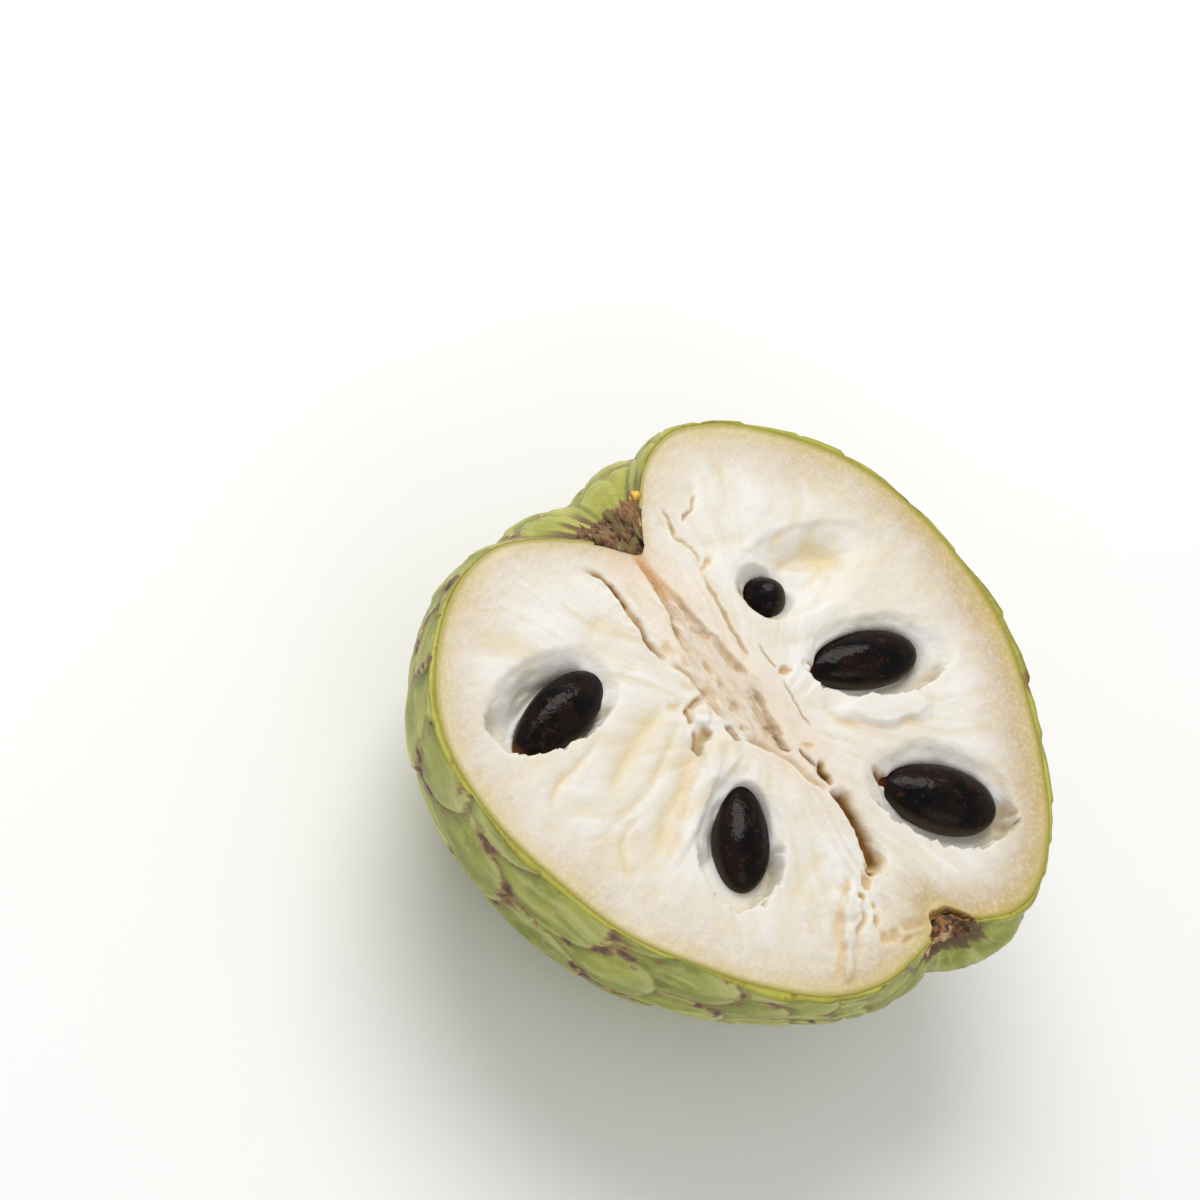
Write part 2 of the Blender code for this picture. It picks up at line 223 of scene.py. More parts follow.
def body_radius(from_stem, round_core):
    """Distance of the smooth body's skin from the centre."""
    degrees = np.degrees(from_stem)
    knots, *edges = zip(*PROFILE)
    right, left, back = (smooth_through(degrees, knots, edge) for edge in edges)
    edge = np.where(round_core > 0, right, left)
    share = np.sin(round_core) ** 2
    ellipse = 1 / np.sqrt((1 - share) / back**2 + share / edge**2)
    radius = ellipse * (1 + BOXINESS * np.sin(2 * round_core) ** 2 * np.sin(from_stem) ** 2)
    for stem_angle, core_angle, height, spread in SWELLINGS:
        a, c = math.radians(stem_angle), math.radians(core_angle)
        cosine = np.cos(from_stem) * math.cos(a)
        cosine += np.sin(from_stem) * math.sin(a) * np.cos(round_core - c)
        away = np.arccos(np.clip(cosine, -1.0, 1.0))
        radius += height * hump(away, 0.0, math.radians(spread))
    return radius


def skin_length():
    """Angles from the stem, the length of skin up to each, and its distance from the core."""
    angle = np.radians(np.arange(0, 180.5, 0.5))
    knots, _, _, back = zip(*PROFILE)
    radius = smooth_through(np.degrees(angle), knots, back)
    steps = np.hypot(np.diff(radius), radius[1:] * np.diff(angle))
    return angle, np.concatenate([[0.0], np.cumsum(steps)]), radius * np.sin(angle)


def scale_layout():
    """Tip along the skin, angle round the core and width of every scale, from the stem on."""
    rng = np.random.default_rng(SCALE_SEED)
    _, along, from_core = skin_length()
    tips, tip, row = [], FIRST_TIP, 0
    while tip < along[-1] - BARE_BLOSSOM[0]:
        width = 2 * math.pi * np.interp(tip, along, from_core) / SCALES_AROUND
        for i in range(-SCALES_AROUND // 2, SCALES_AROUND // 2 + 2):
            turn = i + 0.5 * (row % 2) + rng.uniform(-JITTER, JITTER)
            turn = turn * 2 * math.pi / SCALES_AROUND
            along_skin = tip + rng.uniform(-JITTER, JITTER) * width
            tips.append((along_skin, turn, width * rng.uniform(*SCALE_WIDTHS)))
        tip += float(np.clip(ROW_PITCH * width, *ROW_PITCH_RANGE))
        row += 1
    return sorted(tips)


def scales_at(from_stem, round_core):
    """Relief of the scales, and where on them each point lies."""
    angle, along, from_core = skin_length()
    s = np.interp(from_stem, angle, along)
    rho = np.interp(from_stem, angle, from_core)
    count = len(s)
    height, tone = np.zeros(count), np.full(count, 0.5)
    covered = np.zeros(count, bool)
    own, over, back = (np.full(count, FAR) for _ in range(3))
    rng = np.random.default_rng(TONE_SEED)
    warp = 0.35 * noise(s, round_core * 40, 5.0, 4)
    for tip, turn, width in scale_layout():
        shade = rng.random()
        nose = NOSE * width
        behind = tip - s + warp
        across = np.abs(round_core - turn) * rho / (width / 2)
        shape = np.where(behind < nose, np.hypot(across, (behind - nose) / nose), across)
        inside = (1 - shape) * width / 2
        mine = (inside > 0) & ~covered
        length = nose + ROW_PITCH * width
        rise = np.clip(1 - behind / length, 0, 1) * (1 - SIDE_DROP * np.minimum(across, 1) ** 2)
        lip = 1 - 0.3 * np.exp(-np.maximum(inside, 0) / 0.7)
        swell = PILLOW * width * np.clip(1 - shape**2, 0, 1)
        height = np.where(mine, TIP_HEIGHT * width * (rise * lip - SUNK) + swell, height)
        own = np.where(mine, inside, own)
        back = np.where(mine, behind, back)
        tone = np.where(mine, shade, tone)
        outside = (inside <= 0) & ~covered
        over = np.where(outside, np.minimum(over, -inside), over)
        covered |= mine
    fade = step(*BARE_STEM, s) * step(*BARE_BLOSSOM, along[-1] - s)
    signed = np.where(over < own, -over, own)
    return {
        "height": height * fade,
        "signed": signed,
        "edge": np.abs(signed),
        "tone": tone,
        "tip": back,
        "from_stem": s,
        "from_blossom": along[-1] - s,
    }


def rest_on(z, floor):
    """Heights kept above the floor of the flat spot, with a soft turn into it."""
    lift = np.clip((floor + REST_BLEND - z) / (2 * REST_BLEND), 0.0, 1.0)
    soft = z + REST_BLEND * lift**2
    return np.where(z < floor - REST_BLEND, floor, np.maximum(soft, floor))


def around_blossom(directions):
    """Bearing and angle below the cut plane, in degrees."""
    bearing = np.degrees(np.arctan2(directions[:, 1], directions[:, 0]))
    return bearing, np.degrees(np.arcsin(np.clip(-directions[:, 2], -1, 1)))


def pit_reach(bearing, down, half_width=PIT[2]):
    """Distance from the pit's middle, as a share of its reach."""
    return np.hypot((bearing - PIT[0]) / half_width, (down - PIT[1]) / PIT[3])


def dent(directions):
    """The torn pit at the blossom end, the groove under it and the knob beside it."""
    bearing, down = around_blossom(directions)
    pit = step(1.05, 0.55, pit_reach(bearing, down))
    groove = hump(bearing, 1.5, 3.4) * step(7, 12, down) * step(38, 22, down)
    knob = hump(bearing, 10.5, 4.0) * step(2, 6, down) * step(26, 14, down)
    return 0.8 * knob - 2.6 * pit - 2.2 * groove


def below_pit(directions):
    """How far the coarse inner sheets stay back from the steep walls of the pit."""
    bearing, down = around_blossom(directions)
    return -1.5 * step(1.9, 1.2, pit_reach(bearing, down)) * step(1.8, 4.0, down)


def on_skin(directions, inset, relief=0.0):
    """Points that far inside the skin, in the fruit's own frame."""
    from_stem, round_core = angles_of(directions)
    radius = body_radius(from_stem, round_core) - inset + relief + dent(directions)
    points = directions * np.asarray(radius)[:, None]
    points[:, 2] = rest_on(points[:, 2], inset - REST_DEPTH)
    points[:, 0] += CENTRE_X
    return points


def rim_drop(bearing):
    """How far the rim lies below the cut plane: only at the torn pit."""
    middle, half, depth = TORN_RIM
    away = np.degrees(np.arctan2(np.sin(bearing), np.cos(bearing))) - middle
    away = away + 1.0 * noise(bearing * 57, 0 * bearing, 2.2, 17)
    return depth * step(1.1, 0.75, np.abs(away) / half)


def rim_angle(bearing):
    """Angle from straight down at which the fruit's skin is cut off."""
    return math.pi / 2 - rim_drop(bearing) / RIM_REACH


def bowl(cells, crowd=0.0, short=0.0):
    """Directions on a grid over the fruit's underside, out to its rim."""
    reach, bearing = disc_of(grid_square(cells, crowd))
    return direction(reach * (rim_angle(bearing) - short), bearing)


def to_frame(points):
    """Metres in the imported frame."""
    return (np.asarray(points) + np.array([-PART_ORIGIN[0], -PART_ORIGIN[1], REST_DEPTH])) * MM


def direction(tilt, bearing):
    """Unit vectors at an angle from straight down."""
    level = np.sin(tilt)
    return np.stack([level * np.cos(bearing), level * np.sin(bearing), -np.cos(tilt)], axis=1)


# --- mesh helpers ---


def disc_of(square):
    """Reach and bearing on a disc of the points of a square."""
    x, y = square[:, 0], square[:, 1]
    wide = np.abs(x) > np.abs(y)
    reach = np.maximum(np.abs(x), np.abs(y))
    safe_x, safe_y = np.where(x == 0, 1e-9, x), np.where(y == 0, 1e-9, y)
    bearing = np.where(wide, math.pi / 4 * y / safe_x, math.pi / 2 - math.pi / 4 * x / safe_y)
    bearing = np.where(np.where(wide, x, y) < 0, bearing + math.pi, bearing)
    return reach, bearing


def grid_square(cells, crowd=0.0):
    """Points of a square grid, its rows crowded towards the middle line."""
    side = np.linspace(-1.0, 1.0, cells + 1)
    x, y = np.meshgrid(side, side * (1 - crowd + crowd * side**2), indexing="ij")
    return np.stack([x.ravel(), y.ravel()], axis=1)


def grid_faces(cells, start, flip):
    """The quads of a square grid of points."""
    n = cells + 1
    i, j = np.meshgrid(np.arange(cells), np.arange(cells), indexing="ij")
    a = (i * n + j).ravel() + start
    quads = np.stack([a, a + n, a + n + 1, a + 1], axis=1)
    return quads[:, ::-1] if flip else quads


def rim_loop(across, down, start=0):
    """Indices round a grid's rim, in order of bearing from -135 degrees."""
    n, i, j = down + 1, np.arange(across), np.arange(down)
    return start + np.concatenate([i * n, across * n + j, (across - i) * n + down, down - j])


def bridge(fine, coarse, flip):
    """Triangles between two rims, the fine one's count a multiple of the coarse one's."""
    ratio = len(fine) // len(coarse)
    half = ratio // 2
    faces = []
    for k in range(len(coarse)):
        following = coarse[(k + 1) % len(coarse)]
        for m in range(ratio):
            a, b = fine[k * ratio + m], fine[(k * ratio + m + 1) % len(fine)]
            faces.append((a, b, coarse[k] if m < half else following))
        faces.append((coarse[k], fine[(k * ratio + half) % len(fine)], following))
    if flip:
        faces = [face[::-1] for face in faces]
    return faces


def two_sheets(name, top, under, cells, top_up, materials):
    """A closed mesh: a fine sheet and a plain one, joined at their rims in the last material."""
    top_cells, under_cells = cells
    first = len(top)
    quads = np.concatenate(
        [grid_faces(top_cells, 0, not top_up), grid_faces(under_cells, first, top_up)]
    )
    triangles = bridge(rim_loop(top_cells, top_cells), rim_loop(under_cells, under_cells, first), top_up)
    faces = [tuple(q) for q in quads.tolist()] + [tuple(int(v) for v in t) for t in triangles]
    mesh = bpy.data.meshes.new(name)
    mesh.from_pydata(np.concatenate([top, under]).tolist(), [], faces)
    for made in materials:
        mesh.materials.append(made)
    slots = np.zeros(len(faces), np.int32)
    slots[len(quads):] = len(materials) - 1
    mesh.polygons.foreach_set("material_index", slots)
    mesh.shade_smooth()
    mesh.update()
    return mesh


def add_object(data):
    """An object for the mesh, camera or lamp, put in the scene."""
    made = bpy.data.objects.new(data.name, data)
    bpy.context.scene.collection.objects.link(made)
    return made


def sphere(segments, rings):
    """A round bmesh of radius 1."""
    bm = bmesh.new()
    bmesh.ops.create_uvsphere(bm, u_segments=segments, v_segments=rings, radius=1.0)
    return bm


def mesh_from(bm, name, points, finish, scale=1.0):
    """A smooth mesh of the bmesh, its vertices moved to the points."""
    for vertex, point in zip(bm.verts, points):
        vertex.co = Vector(point) * scale
    mesh = bpy.data.meshes.new(name)
    bm.to_mesh(mesh)
    bm.free()
    mesh.shade_smooth()
    mesh.materials.append(finish)
    return mesh


def set_attribute(mesh, name, values, fill=0.0):
    """A number for each vertex, for the material to read."""
    data = np.full(len(mesh.vertices), fill, np.float32)
    data[: len(values)] = values
    mesh.attributes.new(name, "FLOAT", "POINT").data.foreach_set("value", data)


# --- material helpers ---


class Surface:
    """A node material, with short calls for the nodes it is built from."""

    def __init__(self, name):
        self.made = bpy.data.materials.new(name)
        self.made.use_nodes = True
        self.tree = self.made.node_tree
        self.shader = self.tree.nodes["Principled BSDF"]
        self.place = self.tree.nodes.new("ShaderNodeTexCoord").outputs["Object"]

    def link(self, value, socket):
        if isinstance(value, (int, float)):
            socket.default_value = value
        elif isinstance(value, tuple):
            socket.default_value = (*value, 1.0)[: len(socket.default_value)]
        else:
            self.tree.links.new(value, socket)

    def set(self, **sockets):
        for name, value in sockets.items():
            self.link(value, self.shader.inputs[name.replace("_", " ")])

    def node(self, kind, **inputs):
        node = self.tree.nodes.new("ShaderNode" + kind)
        for name, value in inputs.items():
            self.link(value, node.inputs[name.replace("_", " ")])
        return node

    def attribute(self, name):
        node = self.node("Attribute")
        node.attribute_name = name
        return node.outputs["Fac"]

    def stretched(self, x, y, z):
        return self.node("Mapping", Vector=self.place, Scale=(x, y, z)).outputs["Vector"]

    def noise(self, size_mm, detail=4.0, roughness=0.55, vector=None, distortion=0.0):
        node = self.node(
            "TexNoise", Vector=vector or self.place, Scale=1 / (size_mm * MM),
            Detail=detail, Roughness=roughness, Distortion=distortion,
        )
        return node.outputs["Fac"]

    def math(self, operation, a, b=0.0):
        node = self.node("Math")
        node.operation = operation
        self.link(a, node.inputs[0])
        self.link(b, node.inputs[1])
        return node.outputs[0]

    def scaled(self, value, factor, offset):
        return self.math("ADD", self.math("MULTIPLY", value, factor), offset)

    def ease(self, value, low, high):
        """0 below low and 1 above high, or the other way round if low is above high."""
        flip = low > high
        node = self.node("MapRange", Value=value, To_Min=float(flip), To_Max=float(not flip))
        node.interpolation_type = "SMOOTHSTEP"
        self.link(min(low, high), node.inputs["From Min"])
        self.link(max(low, high), node.inputs["From Max"])
        return node.outputs["Result"]

    def product(self, first, *parts):
        for part in parts:
            first = self.math("MULTIPLY", first, part)
        return first

    def mix(self, share, a, b):
        node = self.node("Mix")
        node.data_type = "RGBA"
        for value, index in ((share, 0), (a, 6), (b, 7)):
            self.link(value, node.inputs[index])
        return node.outputs[2]

    def layered(self, colour, *layers):
        """The colour under layers: each a tint, then the parts whose product is its share."""
        for tint, *parts in layers:
            colour = self.mix(self.product(*parts), colour, tint)
        return colour

    def bump(self, height, distance_mm, strength=1.0, normal=None):
        node = self.node("Bump", Strength=strength, Distance=distance_mm * MM, Height=height)
        if normal is not None:
            self.link(normal, node.inputs["Normal"])
        return node.outputs["Normal"]


def rind_surface():
    """Waxy green skin: mottled, streaked along the scales, brown at the scales' tips, with painted
    highlight on the scales' rims and painted shade under them and in the creases by the stem.
    """
    s = Surface("rind_skin")
    clouds, fine, bloom = s.noise(3.2, 5.0, 0.65), s.noise(0.8, 4.0, 0.7), s.noise(6.5, 4.0, 0.6)
    signed, edge, tip, streak, stem, blossom = map(
        s.attribute, ("signed", "edge", "tip", "streak", "from_stem", "from_blossom")
    )
    calm = s.product(s.ease(stem, 14.0, 24.0), s.ease(blossom, 13.0, 22.0))
    hair = s.math("ABSOLUTE", s.math("SUBTRACT", s.noise(13.0, 1.5, 0.3), 0.5))
    patchy = s.ease(s.noise(9.0, 2.0), 0.45, 0.6)
    # Painted highlight: a pale band just inside each scale's edge, partly the margin's own paler colour.
    lip = s.product(s.ease(signed, 2.0, 0.3), s.ease(signed, -0.1, 0.2))
    # Painted shade: a dark band on the lower scale just beyond the edge of the scale over it.
    under = s.product(s.ease(signed, 0.2, -0.5), s.ease(edge, 2.6, 0.4))
    away = s.math("ADD", signed, s.scaled(s.noise(2.2, 5.0, 0.65), 1.7, -0.85))
    where = s.product(0.75, s.ease(s.noise(8.0, 3.0, 0.6), 0.40, 0.54))
    where = s.math("ADD", where, s.product(0.25, s.ease(tip, 8.0, 0.5)))
    line = s.ease(s.math("ABSOLUTE", away), 0.55, 0.0)
    reach = s.math("ADD", edge, s.scaled(clouds, 7.0, -3.5))
    spots = s.ease(s.noise(7.0, 3.0, 0.6), 0.47, 0.60)
    blotch = s.product(s.ease(reach, 2.4, -0.8), spots, s.ease(edge, 4.4, 1.2), calm)
    patches = s.ease(s.noise(11.0, 3.0), 0.36, 0.64)
    green = s.layered(
        s.mix(patches, (0.20, 0.245, 0.014), (0.40, 0.41, 0.055)),
        ((0.14, 0.18, 0.010), 0.5, s.ease(bloom, 0.44, 0.30)),
        ((0.54, 0.55, 0.17), 0.45, s.ease(bloom, 0.50, 0.70)),
        ((0.155, 0.195, 0.016), 0.5, s.ease(s.attribute("tone"), 0.3, 1.0), calm),
        ((0.48, 0.475, 0.11), 0.6, s.ease(clouds, 0.46, 0.72)),
        ((0.52, 0.53, 0.19), 0.35, s.ease(tip, 9.0, 1.0), calm),
        ((0.58, 0.585, 0.22), 0.6, s.ease(streak, 0.05, 0.9)),
        ((0.165, 0.20, 0.020), 0.5, s.ease(streak, -0.1, -0.9)),
        ((0.60, 0.595, 0.24), 0.35, s.ease(fine, 0.54, 0.80)),
        ((0.70, 0.70, 0.42), 0.35, s.ease(hair, 0.0045, 0.001), patchy),
        ((0.52, 0.50, 0.10), 0.5, s.ease(stem, 34.0, 12.0)),
        # Painted highlight on the scales' rims, over their paler margins.
        ((0.58, 0.57, 0.22), 0.5, lip, calm),
        # Painted shade under the scales' edges.
        ((0.12, 0.145, 0.014), 0.5, under, calm),
        # Painted shade in the creases between the lobes round the stem.
        ((0.11, 0.13, 0.012), 0.8, s.attribute("crease_shade")),
        ((0.12, 0.045, 0.030), 0.85, s.attribute("brown")),
        ((0.18, 0.080, 0.030), 0.8, line, s.ease(edge, 2.4, 1.0), where, calm),
        ((0.30, 0.165, 0.055), 0.8, s.ease(blotch, 0.0, 0.55)),
        ((0.085, 0.028, 0.024), 0.9, s.ease(blotch, 0.30, 0.90)),
    )
    s.set(Base_Color=green, Roughness=s.scaled(clouds, 0.25, 0.34), Specular_IOR_Level=0.4)
    s.set(Normal=s.bump(fine, 0.12, 0.6, s.bump(clouds, 0.8, 0.6)))
    return s.made


def rind_cut_surface():
    """The cut edge of the skin: a moist yellow-green line."""
    s = Surface("rind_cut")
    fine = s.noise(0.8, 4.0, 0.6)
    colour = s.layered(
        s.mix(s.ease(s.noise(9.0, 3.0), 0.38, 0.62), (0.30, 0.27, 0.025), (0.42, 0.42, 0.05)),
        ((0.50, 0.44, 0.10), 0.5, s.ease(fine, 0.4, 0.8)),
        ((0.20, 0.10, 0.02), 0.7, s.ease(s.noise(5.0, 3.0, 0.6), 0.58, 0.66)),
        ((0.16, 0.06, 0.015), s.ease(s.attribute("brown"), 0.2, 0.5)),
    )
    s.set(Base_Color=colour, Roughness=0.4, Normal=s.bump(fine, 0.1, 0.6))
    return s.made


def flesh_surface():
    """Creamy pulp: tan and grainy near the skin, pinkish core, blue-white seed hollows, and painted
    shade, warm tan and olive, in its valleys, folds, cracks, pits and small recesses.
    """
    s = Surface("flesh_pulp")
    rim, core, streak, opened = map(s.attribute, ("rim", "core", "streak", "open"))
    clouds, grain = s.noise(3.0, 4.0, 0.6), s.noise(0.75, 5.0, 0.75)
    strands = s.noise(1.5, 4.0, 0.6, s.stretched(0.3, 1.0, 1.0))
    net = s.noise(0.9, 5.0, 0.65, s.stretched(0.26, 1.0, 1.0))
    from_rim = s.math("ADD", rim, s.scaled(clouds, 4.0, -2.0))
    patches = s.ease(s.noise(11.0, 3.0), 0.36, 0.64)
    torn = s.mix(s.ease(grain, 0.42, 0.66), (0.20, 0.075, 0.015), (0.58, 0.34, 0.10))
    colour = s.layered(
        s.mix(patches, (0.765, 0.712, 0.615), (0.795, 0.770, 0.715)),
        ((0.845, 0.832, 0.797), 0.6, s.ease(streak, 0.0, 0.8)),
        ((0.740, 0.658, 0.485), 0.6, s.ease(streak, 0.0, -0.9)),
        ((0.46, 0.30, 0.088), s.ease(from_rim, 13.0, -3.0), s.attribute("band")),
        ((0.66, 0.53, 0.16), 0.5, s.ease(from_rim, 4.5, 0.0)),
        ((0.90, 0.82, 0.66), 0.30, s.ease(rim, 14.0, 3.0), s.ease(grain, 0.46, 0.66)),
        ((0.40, 0.34, 0.04), 0.85, s.ease(rim, 1.3, 0.1)),
        ((0.795, 0.692, 0.572), 0.8, core),
        ((0.62, 0.45, 0.29), 0.35, core, s.ease(strands, 0.47, 0.72)),
        ((0.85, 0.845, 0.81), 0.7, s.attribute("hollow")),
        # Painted shade over the broad valleys of the face.
        ((0.72, 0.62, 0.41), 0.6, s.attribute("valley_shade")),
        # Painted shade, olive, along the folds.
        ((0.74, 0.64, 0.41), 0.6, s.attribute("olive")),
        # Painted shade, tan, on the walls of cracks and pits.
        ((0.78, 0.60, 0.34), 0.75, s.attribute("trough_shade")),
        # Painted shade, warm, in small recesses of the face.
        ((0.77, 0.57, 0.28), 0.6, s.attribute("cavity_shade")),
        ((0.64, 0.37, 0.15), s.attribute("warm")),
        # Painted shade, dark brown, at the bottoms of cracks and pits.
        ((0.25, 0.105, 0.016), s.attribute("crack_shade")),
        (torn, s.attribute("scar")),
        ((0.77, 0.60, 0.42), opened, s.ease(net, 0.50, 0.32)),
        ((0.86, 0.79, 0.71), opened, s.ease(net, 0.52, 0.70)),
    )
    s.set(Base_Color=colour, Roughness=s.scaled(grain, 0.30, 0.28), Specular_IOR_Level=0.4)
    s.set(Subsurface_Weight=0.35, Subsurface_Radius=(1.0, 0.66, 0.28), Subsurface_Scale=0.0027)
    woven = s.product(net, s.math("ADD", opened, s.product(0.25, core)))
    woven = s.bump(woven, 0.9, 0.6, s.bump(clouds, 0.35, 0.6))
    s.set(Normal=s.bump(grain, 0.15, 0.6, woven))
    return s.made


def seed_surface():
    """Glossy near-black coat in a dark olive skin, with reddish specks and amber ends."""
    s = Surface("seed_coat")
    specks, clouds = s.noise(1.6, 5.0, 0.7), s.noise(4.0, 3.0)
    colour = s.layered(
        s.mix(s.ease(clouds, 0.42, 0.62), (0.0012, 0.0008, 0.0008), (0.010, 0.004, 0.003)),
        ((0.065, 0.020, 0.011), 0.7, s.ease(specks, 0.54, 0.70)),
        ((0.045, 0.034, 0.020), 0.9, s.ease(s.attribute("sides"), 0.80, 0.95)),
        ((0.20, 0.06, 0.012), 0.6, s.ease(s.attribute("end"), 0.86, 1.0)),
    )
    s.set(Base_Color=colour, Roughness=s.scaled(clouds, 0.40, 0.10), Specular_IOR_Level=0.03)
    s.set(Coat_Weight=0.21, Coat_Roughness=0.035)
    fine = s.noise(1.4, 2.0, 0.5, distortion=1.5)
    wrinkled = s.bump(fine, 0.16, 0.6, s.bump(s.noise(3.4, 2.0), 0.20, 0.6))
    s.set(Normal=wrinkled, Coat_Normal=wrinkled)
    return s.made


# --- the fruit ---


def stem_lobes(s, turn, from_stem):
    """Height of the puffed lobes round the stem, and the painted shade in the creases between them."""
    bent_turn = turn + 2.5 * noise(s, turn * 0.2, 8.0, 35)
    edges = np.array(LOBE_EDGES)
    k = np.clip(np.searchsorted(edges, bent_turn) - 1, 0, len(edges) - 2)
    middle, half = (edges[k] + edges[k + 1]) / 2, (edges[k + 1] - edges[k]) / 2
    across = np.clip(np.abs(bent_turn - middle) / half, 0, 1)
    reach = np.radians(half) * np.sin(from_stem) * LOBE_RADIUS
    puff = np.sqrt(1 - across**2) - 0.72
    height = 0.62 * np.minimum(reach, 5.0) * puff * step(3, 8, s) * step(40, 22, s)
    return height, hump((1 - across) * reach, 0.0, 0.45) * step(5, 9, s) * step(26, 17, s)


def browning(s, turn, bearing, down):
    """Brown dashes round the stem, two streaks beside the blossom end, and the pit's edge."""
    dashes = step(0.10, 0.35, noise(turn / 7.0, s / 8.0, 1.0, 37)) * step(6.0, 8.0, s)
    brown = np.maximum(dashes * step(18.0, 12.5, s), 0.9 * step(10.5, 8.5, s))
    bearing = bearing + 1.5 * noise(s, turn, 3.0, 38)
    for middle, lean, width, reach in ((-8.0, 0.45, 0.8, 12.0), (-15.0, 0.8, 0.7, 13.0)):
        streaked = hump(bearing - middle, lean * down, width) * step(reach, reach * 0.5, down)
        brown = np.maximum(brown, streaked)
    return np.maximum(brown, step(1.15, 1.0, pit_reach(bearing, down)))


def rind_relief(directions):
    """Relief of the skin: scales, veins along them, and puckers and lobes round the stem."""
    from_stem, round_core = angles_of(directions)
    bearing, down = around_blossom(directions)
    at = scales_at(from_stem, round_core)
    s, signed, turn = at["from_stem"], at["signed"], np.degrees(round_core)
    streak = fbm(turn * 0.8 + 3 * noise(s, turn * 0.3, 9.0, 22), s * 0.16, 2.6, 4, 21)
    wrinkle = np.abs(noise(turn * 0.45 + noise(s, turn, 6.0, 32), s * 0.10, 2.2, 31))
    near_stem = step(30, 12, s) * step(2.0, 6.0, s)
    calm = step(10, 20, at["from_blossom"])
    height = at["height"] * step(9, 22, s) * calm + 0.16 * streak
    height -= 0.45 * near_stem * (0.5 - wrinkle)
    height += 0.18 * fbm(s, turn * 0.5, 5.0, 4, 41)
    height += 0.6 * noise(s, turn * 0.75, 14.0, 42) * step(18, 30, s)
    lip = 0.25 * np.exp(-np.abs(signed - 0.9) / 0.7) * (signed > 0)
    height += lip * step(14, 24, s) * calm
    lobes, crease_shade = stem_lobes(s, turn, from_stem)
    pit = step(1.0, 0.8, pit_reach(bearing, down, 6.3))
    height = (height + lobes) * (1 - pit) - 0.8 * pit
    relief = np.where(height < 0, DIP_LIMIT * np.tanh(height / DIP_LIMIT), height)
    brown = browning(s, turn, bearing, down)
    return at | {"relief": relief, "streak": streak, "crease_shade": crease_shade, "brown": brown}


def make_rind():
    """The skin, its scales on the outer sheet, the inner one plain."""
    directions = bowl(RIND_CELLS[0])
    at = rind_relief(directions)
    outer = to_frame(on_skin(directions, 0.0, at["relief"]))
    directions = bowl(RIND_CELLS[1])
    inner = to_frame(on_skin(directions, RIND_THICK, below_pit(directions)))
    finishes = [rind_surface(), rind_cut_surface()]
    rind = add_object(two_sheets("rind_look", outer, inner, RIND_CELLS, False, finishes))
    for name in ("signed", "edge", "tone", "tip", "from_stem", "from_blossom", "streak"):
        set_attribute(rind.data, name, at[name], FAR)
    set_attribute(rind.data, "brown", at["brown"])
    set_attribute(rind.data, "crease_shade", at["crease_shade"])
    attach(rind, "root")
    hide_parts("rind")


def patch_grid(cells):
    """How far across and down a patch each of its points lies, 0 to 1."""
    sides = [np.linspace(0, 1, count + 1) for count in cells]
    return [values.ravel() for values in np.meshgrid(*sides, indexing="ij")]


def make_patch(name, cells, place, finish):
    """A closed patch from place(a, b, under), whose corners are at a and b of 0 and 1."""
    across, down = cells
    a, b = patch_grid(cells)
    top, under = place(a, b, False), place(a, b, True)
    n, first = down + 1, len(top)
    faces = []
    for i in range(across):
        for j in range(down):
            k = i * n + j
            faces.append((k, k + n, k + n + 1, k + 1))
            faces.append((first + k, first + k + 1, first + k + n + 1, first + k + n))
    edge = rim_loop(across, down).tolist()
    for k, following in zip(edge, edge[1:] + edge[:1]):
        faces.append((following, k, first + k, first + following))
    mesh = bpy.data.meshes.new(name)
    mesh.from_pydata(np.concatenate([top, under]).tolist(), [], faces)
    mesh.materials.append(finish)
    mesh.shade_smooth()
    bm = bmesh.new()
    bm.from_mesh(mesh)
    bmesh.ops.recalc_face_normals(bm, faces=bm.faces[:])
    bm.to_mesh(mesh)
    bm.free()
    patch = add_object(mesh)
    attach(patch, "root")
    return patch


def cork_surface():
    """Dry brown cork with painted shade, near-black, in its low clefts, lighter on its tall lumps, with
    greyish fibres and an orange side.
    """
    s = Surface("stem_cork")
    tall, clouds = s.attribute("tall"), s.noise(1.5, 5.0, 0.7)
    fibre = s.noise(1.0, 3.0, 0.6, s.stretched(0.3, 1.0, 1.0))
    olive = s.mix(clouds, (0.10, 0.070, 0.012), (0.33, 0.25, 0.075))
    colour = s.layered(
        s.mix(s.ease(clouds, 0.40, 0.60), (0.055, 0.020, 0.008), (0.23, 0.105, 0.040)),
        (olive, s.ease(s.noise(3.6, 2.0), 0.50, 0.60)),
        ((0.36, 0.21, 0.10), 0.5, s.ease(tall, 0.62, 1.0)),
        # Painted shade: near-black where the scar lies low, in its clefts.
        ((0.010, 0.005, 0.003), s.ease(tall, 0.50, 0.25)),
        ((0.60, 0.30, 0.13), 0.75, s.attribute("orange")),
        ((0.50, 0.43, 0.33), 0.6, s.ease(fibre, 0.60, 0.70)),
    )
    s.set(Base_Color=colour, Roughness=0.75, Normal=s.bump(clouds, 0.6, 0.9))
    return s.made


